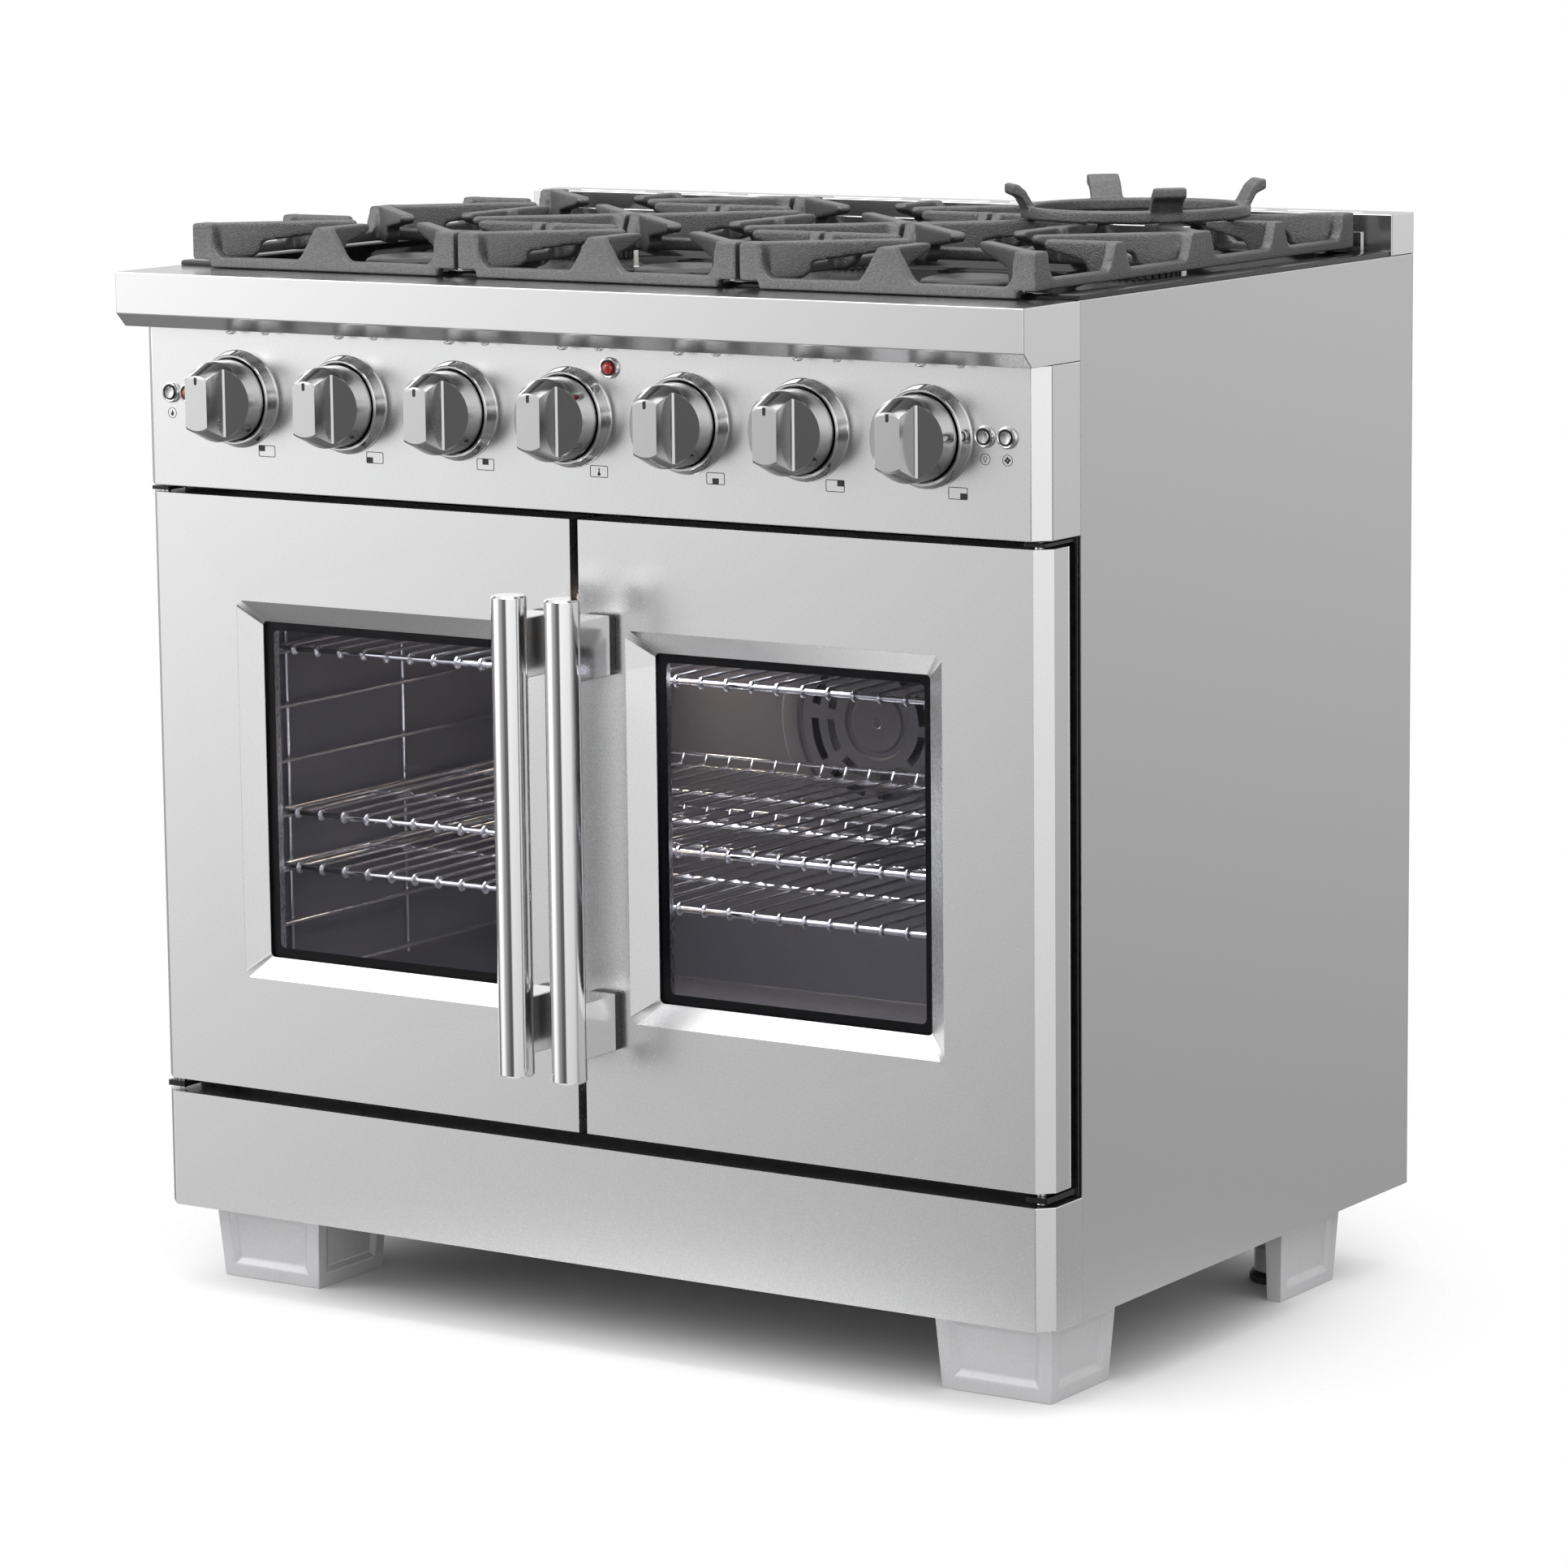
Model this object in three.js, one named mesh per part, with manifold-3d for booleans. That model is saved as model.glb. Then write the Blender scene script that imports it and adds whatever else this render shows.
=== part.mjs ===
// Freestanding 36-inch gas range with six sealed burners and a French-door oven.
// Millimetres, +Z up. The origin is on the floor under the middle of the range.
// Inside the model group y runs back from the door faces, and x = 0 is the middle.

import * as THREE from 'three';
import { mergeVertices } from 'three/addons/utils/BufferGeometryUtils.js';
import Module from 'manifold-3d';

const wasm = await Module();
wasm.setup();

// Driving dimensions
const HALF = 457;              // half of the overall width
const REAR = 630.5;            // back face
const HANDLE_FRONT = -71.5;    // front of the handle bars
const JOINT = 54;              // where the side panels meet the front parts
const CORNER = 12.3;           // corner chamfer of the front parts
const SHEET = 2;               // sheet metal
const GAP = 0.3;               // clearance between neighbouring pieces
const BODY_Z = 73.4;           // underside of the body
const KICK_TOP = 176.6;
const DOOR_BOTTOM = 188.4;
const DOOR_TOP = 710.7;
const DOOR_GAP = 4.2;          // half of the gap between the two doors
const PANEL_BOTTOM = 717.2;
const PANEL_FACE = -2.4;
const RAIL_BOTTOM = 856.8;
const RAIL_FACE = -33.8;
const COOKTOP_Z = 904.5;
const GRATE_TOP = 943;

const HINGE_X = 443.5;
const HINGE_Y = 12;
const PIN_R = 4;

const KNOB_PITCH = 116.1;
const KNOB_Z = 796.5;
const KNOB_NAMES = [
  'knob_rear_left', 'knob_front_left', 'knob_rear_center', 'knob_oven',
  'knob_front_center', 'knob_rear_right', 'knob_front_right',
];
const BUTTONS = {
  button_ignition: [-423, 799],
  button_light: [402.4, 799],
  button_fan: [423, 799],
};
const LAMPS = { indicator_lamp_left: [-403.5, 799], indicator_lamp_oven: [41, 839] };

const BURNER_X = 285.6;
const BURNER_Y = { front: 171.3, rear: 441.8 };
const GRATE_FRONT = 36;
const GRATE_BACK = 577;
const GRATE_HALF = 140.7;

const CAVITY_X = 385;
const CAVITY_Z = [215, 655];
const CAVITY_BACK = 500;
const RACK_Z = { rack_top: 569, rack_middle: 423, rack_bottom: 374 };
const RACK_FRONT = 74;
const RACK_BACK = 464;
const FAN_Z = 477;

// Solids ---------------------------------------------------------------------

function solid(geometry) {
  const bare = geometry.clone();
  bare.deleteAttribute('normal');
  bare.deleteAttribute('uv');
  const merged = mergeVertices(bare, 1e-4);
  const position = merged.attributes.position.array;
  const index = [];
  for (let i = 0; i < merged.index.count; i += 3) {
    const [a, b, c] = [0, 1, 2].map((k) => merged.index.getX(i + k));
    if (a !== b && b !== c && c !== a) index.push([a, b, c]);
  }
  const corner = (i) => new THREE.Vector3().fromArray(position, i * 3);
  const volume = index.reduce((sum, [a, b, c]) => sum + corner(a).dot(corner(b).cross(corner(c))), 0);
  const facing = volume < 0 ? index.map(([a, b, c]) => [a, c, b]) : index;
  return new wasm.Manifold(new wasm.Mesh({
    numProp: 3,
    vertProperties: new Float32Array(position),
    triVerts: new Uint32Array(facing.flat()),
  }));
}

const join = (...parts) => parts.reduce((whole, part) => whole.add(part));
const cut = (whole, ...tools) => tools.reduce((left, tool) => left.subtract(tool), whole);

function box([x0, x1], [y0, y1], [z0, z1]) {
  const geometry = new THREE.BoxGeometry(Math.abs(x1 - x0), y1 - y0, z1 - z0);
  geometry.translate((x0 + x1) / 2, (y0 + y1) / 2, (z0 + z1) / 2);
  return solid(geometry);
}

// A polygon pushed along an axis: points are (x, y) for z, (x, z) for y and (y, z) for x.
function prism(axis, points, from, to) {
  const shape = new THREE.Shape(points.map(([u, v]) => new THREE.Vector2(u, v)));
  const geometry = new THREE.ExtrudeGeometry(shape, { depth: to - from, bevelEnabled: false });
  geometry.translate(0, 0, from);
  const [X, Y, Z] = [new THREE.Vector3(1, 0, 0), new THREE.Vector3(0, 1, 0), new THREE.Vector3(0, 0, 1)];
  const turn = new THREE.Matrix4();
  if (axis === 'x') turn.makeBasis(Y, Z, X);
  if (axis === 'y') turn.makeBasis(X, Z, Y);
  geometry.applyMatrix4(turn);
  return solid(geometry);
}

// A solid turned about an axis through (x, y, z); the profile is (radius, distance along the axis).
function turned(axis, profile, [x, y, z], segments = 20) {
  const points = profile.map(([r, h]) => new THREE.Vector2(r, h));
  const geometry = new THREE.LatheGeometry(points, segments);
  if (axis === 'z') geometry.rotateX(Math.PI / 2);
  geometry.translate(x, y, z);
  return solid(geometry);
}

const rod = (axis, r, from, to, at, segments = 12) =>
  turned(axis, [[0, from], [r, from], [r, to], [0, to]], at, segments);

// A box-like solid between two four-cornered faces listed in the same order.
function loft(lower, upper) {
  const geometry = new THREE.BufferGeometry();
  geometry.setAttribute('position', new THREE.Float32BufferAttribute([...lower, ...upper].flat(), 3));
  geometry.setIndex([
    0, 2, 1, 0, 3, 2, 4, 5, 6, 4, 6, 7,
    0, 1, 5, 0, 5, 4, 1, 2, 6, 1, 6, 5,
    2, 3, 7, 2, 7, 6, 3, 0, 4, 3, 4, 7,
  ]);
  return solid(geometry);
}

const rectangleXZ = ([x0, x1], y, [z0, z1]) => [[x0, y, z0], [x1, y, z0], [x1, y, z1], [x0, y, z1]];
const rectangleXY = ([x0, x1], [y0, y1], z) => [[x0, y0, z], [x1, y0, z], [x1, y1, z], [x0, y1, z]];
const grown = ([low, high], by) => [low - by, high + by];

// A round pipe along straight runs, each run carried a little way through its elbows.
function pipe(points, r) {
  const runs = [];
  const last = points.length - 2;
  for (let i = 0; i <= last; i += 1) {
    const [a, b] = [new THREE.Vector3(...points[i]), new THREE.Vector3(...points[i + 1])];
    const along = b.clone().sub(a).normalize();
    if (i > 0) a.addScaledVector(along, -r);
    if (i < last) b.addScaledVector(along, r * 0.9);
    const run = new THREE.CylinderGeometry(r, r, a.distanceTo(b), 8);
    run.applyQuaternion(new THREE.Quaternion().setFromUnitVectors(new THREE.Vector3(0, 1, 0), along));
    run.translate(...a.add(b).multiplyScalar(0.5));
    runs.push(solid(run));
  }
  return join(...runs);
}

// Materials and the scene graph ------------------------------------------------

const finish = (color, roughness, metalness, extra = {}) =>
  new THREE.MeshStandardMaterial({ color, roughness, metalness, ...extra });
const FINISH = {
  steel: () => finish(0xc4c5c7, 0.38, 1),
  polished: () => finish(0xd8d9da, 0.16, 1),
  castIron: () => finish(0x3a3a3b, 0.75, 0.4),
  enamel: () => finish(0x121213, 0.2, 0),
  galvanised: () => finish(0x8e9194, 0.55, 0.9),
  footGrey: () => finish(0xb4b6b8, 0.5, 0.6),
  liner: () => finish(0x2c2c33, 0.35, 0.1),
  glass: () => finish(0x2a2a30, 0.05, 0, { transparent: true, opacity: 0.4 }),
  lamp: () => finish(0xb01512, 0.25, 0),
  chrome: () => finish(0xe2e3e5, 0.1, 1),
};

const model = new THREE.Group();
model.position.y = -(HANDLE_FRONT + REAR) / 2;

function add(name, manifold, kind) {
  const { vertProperties, triVerts } = manifold.getMesh();
  const geometry = new THREE.BufferGeometry();
  geometry.setAttribute('position', new THREE.BufferAttribute(vertProperties, 3));
  geometry.setIndex(new THREE.BufferAttribute(triVerts, 1));
  geometry.computeVertexNormals();
  const mesh = new THREE.Mesh(geometry, FINISH[kind]());
  mesh.name = name;
  model.add(mesh);
}

const SIDES = { left: -1, right: 1 };
// A span of x measured outwards from the middle, on one side of the range.
const across = (side, inner, outer) => (side > 0 ? [inner, outer] : [-outer, -inner]);

// Body shell -------------------------------------------------------------------

function sidePanel(side) {
  const depth = [JOINT + GAP, REAR - SHEET - GAP];
  return join(
    box(across(side, HALF - SHEET, HALF), depth, [BODY_Z, COOKTOP_Z]),
    box(across(side, HALF - 16, HALF - 1), depth, [COOKTOP_Z - SHEET, COOKTOP_Z]),
    box(across(side, HALF - 16, HALF - 1), depth, [BODY_Z, BODY_Z + SHEET]),
  );
}

function rearPanel() {
  const thick = [REAR - SHEET, REAR];
  const slots = [];
  for (const x of [-260, 0, 260]) {
    for (let row = 0; row < 4; row += 1) {
      slots.push(box([x - 70, x + 70], [REAR - 4, REAR + 4], [560 + row * 22, 567 + row * 22]));
    }
  }
  const inlet = rod('y', 22, -4, 4, [425, REAR, 140], 16);
  return cut(box([-HALF + 0.5, HALF - 0.5], thick, [BODY_Z, COOKTOP_Z]), inlet, ...slots);
}

function basePan() {
  const rail = (side) => box(across(side, 372, 408), [148, 440], [52, BODY_Z + 4]);
  const floor = box([-HALF + 2.5, HALF - 2.5], [JOINT + 2.5, REAR - 2.5], [BODY_Z + 2.3, BODY_Z + 4.3]);
  return join(floor, rail(-1), rail(1));
}

// The front of a shell that is open at the back, with chamfered outer corners.
function frontOutline(face, inset, back) {
  const x = HALF - inset;
  const front = face + inset;
  const chamfer = CORNER - inset * 0.41;
  return [
    [-x, back], [-x, front + chamfer], [-x + chamfer, front],
    [x - chamfer, front], [x, front + chamfer], [x, back],
  ];
}

function frontShell(face, [bottom, top]) {
  return cut(
    prism('z', frontOutline(face, 0, JOINT), bottom, top),
    prism('z', frontOutline(face, SHEET, JOINT + 1), bottom + SHEET, top - SHEET),
  );
}

function frontFrame() {
  const plate = box([-HALF + 2.3, HALF - 2.3], [JOINT - 3.5, JOINT], [KICK_TOP + GAP, PANEL_BOTTOM - GAP]);
  const sealLand = box([-415, 415], [38, JOINT], [193, 690]);
  const opening = box([-CAVITY_X, CAVITY_X], [30, 60], CAVITY_Z);
  const tabs = [];
  const holes = [];
  for (const side of [-1, 1]) {
    tabs.push(box(across(side, 434, 453), [3.5, JOINT], [180, 185]));
    tabs.push(box(across(side, 434, 453), [3.5, JOINT], [712.3, 715.6]));
    holes.push(rod('z', PIN_R + 0.6, 170, 720, [side * HINGE_X, HINGE_Y, 0]));
  }
  return cut(join(plate, sealLand, ...tabs), opening, ...holes);
}

function controlPanel() {
  const bezels = KNOB_NAMES.map((name, i) => turned('y', [
    [0, PANEL_FACE + 1], [42, PANEL_FACE + 1], [38.5, -14], [36, -14], [36, -8], [0, -8],
  ], [(i - 3) * KNOB_PITCH, 0, KNOB_Z], 16));
  const shaftHoles = KNOB_NAMES.map((name, i) => (
    rod('y', 6, -30, 20, [(i - 3) * KNOB_PITCH, 0, KNOB_Z], 8)
  ));
  const small = [...Object.values(BUTTONS), ...Object.values(LAMPS)];
  const rings = small.map(([x, z]) => turned('y', [
    [0, PANEL_FACE + 1], [9, PANEL_FACE + 1], [9, -4], [7.5, -5.6], [0, -5.6],
  ], [x, 0, z], 10));
  const ringHoles = small.map(([x, z]) => rod('y', 6, -20, 20, [x, 0, z], 10));
  const shell = frontShell(PANEL_FACE, [PANEL_BOTTOM, RAIL_BOTTOM - GAP]);
  return cut(join(shell, ...bezels, ...rings), ...shaftHoles, ...ringHoles);
}

function frontRail() {
  const bevel = 11.8;
  const outer = [
    [JOINT, COOKTOP_Z], [RAIL_FACE, COOKTOP_Z], [RAIL_FACE, RAIL_BOTTOM + bevel],
    [RAIL_FACE + bevel, RAIL_BOTTOM], [JOINT, RAIL_BOTTOM],
  ];
  const inner = [
    [JOINT + 1, COOKTOP_Z - SHEET], [RAIL_FACE + SHEET, COOKTOP_Z - SHEET],
    [RAIL_FACE + SHEET, RAIL_BOTTOM + bevel + 0.8], [RAIL_FACE + bevel + 0.8, RAIL_BOTTOM + SHEET],
    [JOINT + 1, RAIL_BOTTOM + SHEET],
  ];
  return cut(prism('x', outer, -HALF, HALF), prism('x', inner, -HALF + SHEET, HALF - SHEET));
}

// Cooktop ------------------------------------------------------------------------

const burnerPlaces = [];
for (const [column, x] of Object.entries({ left: -BURNER_X, center: 0, right: BURNER_X })) {
  for (const [row, y] of Object.entries(BURNER_Y)) burnerPlaces.push([`burner_${row}_${column}`, x, y]);
}

function cooktopPan() {
  const tray = box([-438, 438], [JOINT + 2.6, 588.3], [876, COOKTOP_Z]);
  const rims = [-1, 1].map((side) => join(
    box(across(side, 431, 438), [JOINT + 2.6, 588.3], [900, 909]),
    box(across(side, 437, 455.5), [JOINT + GAP, 588.3], [COOKTOP_Z + GAP, 909]),
  ));
  const recess = loft(
    rectangleXY([-424, 424], [70, 555], 880),
    rectangleXY([-431, 431], [61, 563], 905),
  );
  const throats = burnerPlaces.map(([, x, y]) => rod('z', 18, 870, 885, [x, y, 0], 8));
  return cut(join(tray, ...rims), recess, ...throats);
}

function burner(x, y) {
  return turned('z', [
    [0, 858], [15, 858], [15, 880.3], [52, 880.3], [40, 889],
    [38, 901], [43, 903], [42, 908], [0, 913],
  ], [x, y, 0], 16);
}

function backguard() {
  const inner = box([-HALF + SHEET, HALF - SHEET], [590.7, REAR - SHEET], [900, 938.6]);
  const slots = [];
  for (let i = -4; i <= 4; i += 1) slots.push(box([i * 95 - 38, i * 95 + 38], [604, 612], [930, 950]));
  return cut(box([-HALF, HALF], [588.7, REAR], [COOKTOP_Z + GAP, 940.6]), inner, ...slots);
}

function flueVentTrim() {
  return join(
    box([-428, 428], [586.2, 588.3], [COOKTOP_Z + GAP, 925]),
    box([-428, 428], [579.5, 588.3], [COOKTOP_Z + GAP, COOKTOP_Z + 1.8]),
  );
}

function grate(centre) {
  const w = GRATE_HALF;
  const middle = (GRATE_FRONT + GRATE_BACK) / 2;
  const parts = [];
  // A web that stands on the frame: base height, root and tip in plan, tip underside.
  const web = ([ax, ay], [bx, by], wide, rootZ, tipZ) => {
    const along = new THREE.Vector2(bx - ax, by - ay).normalize();
    const [nx, ny] = [-along.y * wide / 2, along.x * wide / 2];
    const end = (x, y, z) => [
      [x - nx, y - ny, z], [x + nx, y + ny, z], [x + nx, y + ny, GRATE_TOP], [x - nx, y - ny, GRATE_TOP],
    ];
    parts.push(loft(end(ax, ay, rootZ), end(bx, by, tipZ)));
  };
  for (const side of [-1, 1]) {
    parts.push(box(across(side, w - 10, w), [GRATE_FRONT, GRATE_BACK], [912, 920]));
  }
  for (const [y0, y1] of [[GRATE_FRONT, GRATE_FRONT + 10], [GRATE_BACK - 10, GRATE_BACK]]) {
    parts.push(box([-w + 18, w - 18], [y0, y1], [COOKTOP_Z + GAP, 914]));
    for (const side of [-1, 1]) parts.push(box(across(side, w - 22, w), [y0, y1], [912, GRATE_TOP]));
    parts.push(prism('y', [[-20, 912], [20, 912], [6, GRATE_TOP], [-6, GRATE_TOP]], y0, y1));
  }
  parts.push(box([-w + 5, w - 5], [middle - 5, middle + 5], [912, 922]));
  for (const side of [-1, 1]) {
    const x = side * w;
    const inwards = (by) => x - side * by;
    const posts = [
      [GRATE_FRONT + 13, 13], [BURNER_Y.front, 7], [middle, 16], [BURNER_Y.rear, 7], [GRATE_BACK - 13, 13],
    ];
    for (const [y, half] of posts) {
      const low = Math.max(y - half * 1.8, GRATE_FRONT);
      const high = Math.min(y + half * 1.8, GRATE_BACK);
      const outline = [[low, 918], [high, 918], [y + half, GRATE_TOP], [y - half, GRATE_TOP]];
      parts.push(prism('x', outline, Math.min(x, inwards(10)), Math.max(x, inwards(10))));
    }
    for (const y of Object.values(BURNER_Y)) {
      web([inwards(2), y], [inwards(28), y], 10, 915, 922);
      web([inwards(20), y], [inwards(68), y], 10, 926, 934);
      for (const away of [-1, 1]) {
        const outer = (y < middle) === (away < 0);
        const rootY = outer ? (away < 0 ? GRATE_FRONT + 8 : GRATE_BACK - 8) : middle - away * 4;
        const root = [inwards(8), rootY];
        const tip = [side * 37, y + away * 38];
        const part = (t) => [root[0] + (tip[0] - root[0]) * t, root[1] + (tip[1] - root[1]) * t];
        web(root, part(0.32), 13, 915, 915);
        web(part(0.3), tip, 13, 928, 936);
      }
    }
  }
  for (const [y, away] of [
    [GRATE_FRONT + 2, 1], [GRATE_BACK - 2, -1], [middle, 1], [middle, -1],
  ]) {
    web([0, y], [0, y + away * 26], 12, 914, 920);
    web([0, y + away * 20], [0, y + away * 60], 12, 927, 935);
  }
  const raised = join(...parts);
  return raised.translate([centre, 0, 0]);
}

function wokRing(x, y) {
  const seat = GRATE_TOP + GAP;
  const band = [[89, seat], [99, seat], [99, seat + 10.5], [89, seat + 10.5], [89, seat]];
  const ring = turned('z', band, [0, 0, 0], 28);
  const fins = [45, 135, 225, 315].map((angle) => {
    const fin = prism('y', [
      [88, seat + 1], [98, seat + 1], [99.5, seat + 11], [104, seat + 19],
      [113, seat + 23.5], [113, seat + 31], [103, seat + 29.5],
    ], -14, 14);
    return fin.rotate([0, 0, angle]);
  });
  return join(ring, ...fins).translate([x, y, 0]);
}

// Oven ----------------------------------------------------------------------------

function ovenLiner() {
  const outer = box(
    grown([-CAVITY_X, CAVITY_X], SHEET), [JOINT + GAP, CAVITY_BACK + SHEET], grown(CAVITY_Z, SHEET),
  );
  const inner = box([-CAVITY_X, CAVITY_X], [JOINT - 1, CAVITY_BACK], CAVITY_Z);
  return cut(outer, inner, rod('y', 7, CAVITY_BACK - 5, CAVITY_BACK + 5, [0, 0, FAN_Z], 8));
}

function fanCover() {
  const back = CAVITY_BACK - GAP;
  const dish = turned('y', [
    [112, back], [104, 470], [0, 470], [0, 472], [102.5, 472], [110, back], [112, back],
  ], [0, 0, FAN_Z], 20);
  const slots = [];
  for (let i = 0; i < 8; i += 1) {
    const slot = box([40, 88], [460, 480], [-5, 5]).rotate([0, i * 45, 0]);
    slots.push(slot.translate([0, 0, FAN_Z]));
  }
  return cut(dish, ...slots);
}

function convectionFan() {
  const hub = rod('y', 14, 478, 494, [0, 0, 0]);
  const shaft = rod('y', 5, 490, 520, [0, 0, 0], 8);
  const plate = rod('y', 80, 493, 495, [0, 0, 0], 16);
  const blades = [];
  for (let i = 0; i < 8; i += 1) blades.push(box([10, 78], [477, 494], [-1, 1]).rotate([0, i * 45, 0]));
  return join(hub, shaft, plate, ...blades).translate([0, 0, FAN_Z]);
}

const bakeBurner = () => pipe([[-140, 470, 198], [-140, 150, 198], [140, 150, 198], [140, 470, 198]], 9);

function broilBurner() {
  const tray = box([-180, 180], [120, 410], [632, 654.6]);
  const hollow = box([-176, 176], [124, 406], [630, 650]);
  const ribs = [];
  for (let i = 0; i < 5; i += 1) ribs.push(box([-178, 178], [165 + i * 48, 171 + i * 48], [634, 651]));
  return join(cut(tray, hollow), ...ribs);
}

function rack(z) {
  const thick = [z - 2.5, z + 2.5];
  const sides = [-1, 1].map((side) => box(across(side, 376, 381), [RACK_FRONT, RACK_BACK], thick));
  const bars = [RACK_FRONT, 268, RACK_BACK - 5].map((y) => box([-381, 381], [y, y + 5], thick));
  const stop = box([-381, 381], [RACK_BACK - 3, RACK_BACK], [z, z + 5]);
  const wires = [];
  for (let x = -342.9; x < 350; x += 76.2) {
    wires.push(box([x - 1.6, x + 1.6], [RACK_FRONT + 0.5, RACK_BACK - 0.5], [z + 2, z + 5]));
  }
  return join(...sides, ...bars, stop, ...wires);
}

function rackGuide(side) {
  const wire = (depth, height, outer = 381.5) => box(across(side, outer, 384.7), depth, height);
  const posts = [96, 440].map((y) => wire([y, y + 4], [260, 610]));
  const rails = [];
  for (let z = RACK_Z.rack_bottom - 97.5; z < 600; z += 48.75) {
    rails.push(wire([66, 492], [z - 6.9, z - 2.9], 373));
  }
  return join(...posts, ...rails);
}

function gasManifold() {
  const y = 26;
  const trunk = pipe([
    [-400, y, KNOB_Z], [425, y, KNOB_Z], [425, 606, KNOB_Z], [425, 606, 140], [425, REAR - 2.6, 140],
  ], 9);
  const valves = KNOB_NAMES.map((name, i) => (i - 3) * KNOB_PITCH)
    .map((x) => box([x - 11, x + 11], [12, 40], [KNOB_Z - 12, KNOB_Z + 12]));
  return join(trunk, ...valves);
}

// Feet ------------------------------------------------------------------------------

function frontFoot(side) {
  const x = across(side, 325, 430);
  const depth = [49, 142.6];
  return join(
    loft(rectangleXY(x, depth, 0), rectangleXY(grown(x, 5), grown(depth, 5), 58)),
    box(grown(x, 5), grown(depth, 5), [58, BODY_Z - GAP]),
  );
}

const rearFoot = (side) => loft(
  rectangleXY(across(side, 416, 430), [443, 540], 0),
  rectangleXY(across(side, 416, 434), [438, 545], BODY_Z - GAP),
);

function rearLeg(side) {
  return turned('z', [
    [0, 0], [25, 0], [25, 10], [20, 14], [20, 30], [24, 32], [24, BODY_Z + 1.9], [0, BODY_Z + 1.9],
  ], [side * 388, 515, 0], 16);
}

// Doors ------------------------------------------------------------------------------

function door(side) {
  const word = side < 0 ? 'left' : 'right';
  const span = (inner, outer) => across(side, inner, outer);
  const outline = (inset, back) => {
    const front = inset;
    const outer = HALF - inset;
    const chamfer = CORNER - inset * 0.41;
    const points = [
      [DOOR_GAP + inset, front], [outer - chamfer, front], [outer, front + chamfer],
      [outer, back], [DOOR_GAP + inset, back],
    ];
    return points.map(([x, y]) => [side * x, y]);
  };
  const pinHole = (z) => rod('z', PIN_R + 1, z - 6, z + 6, [side * HINGE_X, HINGE_Y, 0]);
  const shell = cut(
    prism('z', outline(0, 34), DOOR_BOTTOM, DOOR_TOP),
    prism('z', outline(SHEET, 36), DOOR_BOTTOM + SHEET, DOOR_TOP - SHEET),
  );
  const [wide, tall] = [[50.6, 359.3], [287.9, 620.6]];
  const [narrow, low] = [[72.2, 340.5], [305.4, 602.1]];
  const recess = 13.5;
  const bezel = loft(
    rectangleXZ(span(...grown(wide, SHEET)), 0.2, grown(tall, SHEET)),
    rectangleXZ(span(...grown(narrow, SHEET)), recess, grown(low, SHEET)),
  );
  const slope = (a, b, t) => a.map((value, i) => value + (b[i] - value) * t);
  const hole = loft(
    rectangleXZ(span(...slope(wide, narrow, -0.1)), -recess * 0.1, slope(tall, low, -0.1)),
    rectangleXZ(span(...slope(wide, narrow, 1.1)), recess * 1.1, slope(tall, low, 1.1)),
  );
  add(`door_${word}_skin`, cut(join(shell, bezel), hole, pinHole(DOOR_BOTTOM), pinHole(DOOR_TOP)), 'steel');

  add(`door_${word}_outer_glass`, box(span(66, 347), [recess + GAP, recess + 4], [299, 608]), 'glass');

  const frame = cut(
    box(span(62, 351), [22, 35], [295, 612]),
    box(span(72, 341), [20, 40], [305, 602]),
  );
  const back = cut(
    box(span(DOOR_GAP, HALF), [34.3, 36.3], [DOOR_BOTTOM, DOOR_TOP]),
    box(span(72, 341), [30, 40], [305, 602]),
  );
  const block = [[436, 35], [436, 6], [445, 6], [452, 13], [452, 35]].map(([x, y]) => [side * x, y]);
  const at = [side * HINGE_X, HINGE_Y, 0];
  add(`door_${word}_liner`, join(
    frame,
    back,
    prism('z', block, DOOR_BOTTOM + 3, DOOR_BOTTOM + 40),
    prism('z', block, DOOR_TOP - 40, DOOR_TOP - 3),
    rod('z', PIN_R, KICK_TOP + 1, DOOR_BOTTOM + 4, at),
    rod('z', PIN_R, DOOR_TOP - 4, PANEL_BOTTOM - 1, at),
  ), 'steel');

  add(`door_${word}_inner_glass`, box(span(64, 349), [21.7 - 4, 21.7], [297, 610]), 'glass');

  const bracket = ([z0, z1]) => join(
    box(span(13, 41), [-56.5, -8], [z0, z1]),
    box(span(15, 39), [-9, -GAP], [z0 + 2, z1 - 2]),
  );
  const rounded = [[0, 246], [13.5, 246], [15, 247.5], [15, 650.5], [13.5, 652], [0, 652]];
  const bar = turned('z', rounded, [side * 27, -56.5, 0], 20);
  add(`door_${word}_handle`, join(bar, bracket([265, 314]), bracket([583, 633.5])), 'polished');
}

// Controls -----------------------------------------------------------------------------

function knob() {
  const front = -62.4;
  const body = turned('y', [
    [0, 10], [4.5, 10], [4.5, -9], [34.5, -9], [35, -14], [34.2, -37], [24.4, -61], [22.8, front], [0, front],
  ], [0, 0, 0], 18);
  const scoops = [-1, 1].map((side) => box(across(side, 12, 60), [-80, -40], [-60, 60]));
  return cut(body, ...scoops);
}

const button = () => rod('y', 5.2, -6.4, 12, [0, 0, 0], 14);
const lamp = () => turned('y', [[0, 10], [5.2, 10], [5.2, -6], [3.6, -8], [0, -8.6]], [0, 0, 0], 14);

// Assembly -------------------------------------------------------------------------------

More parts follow.
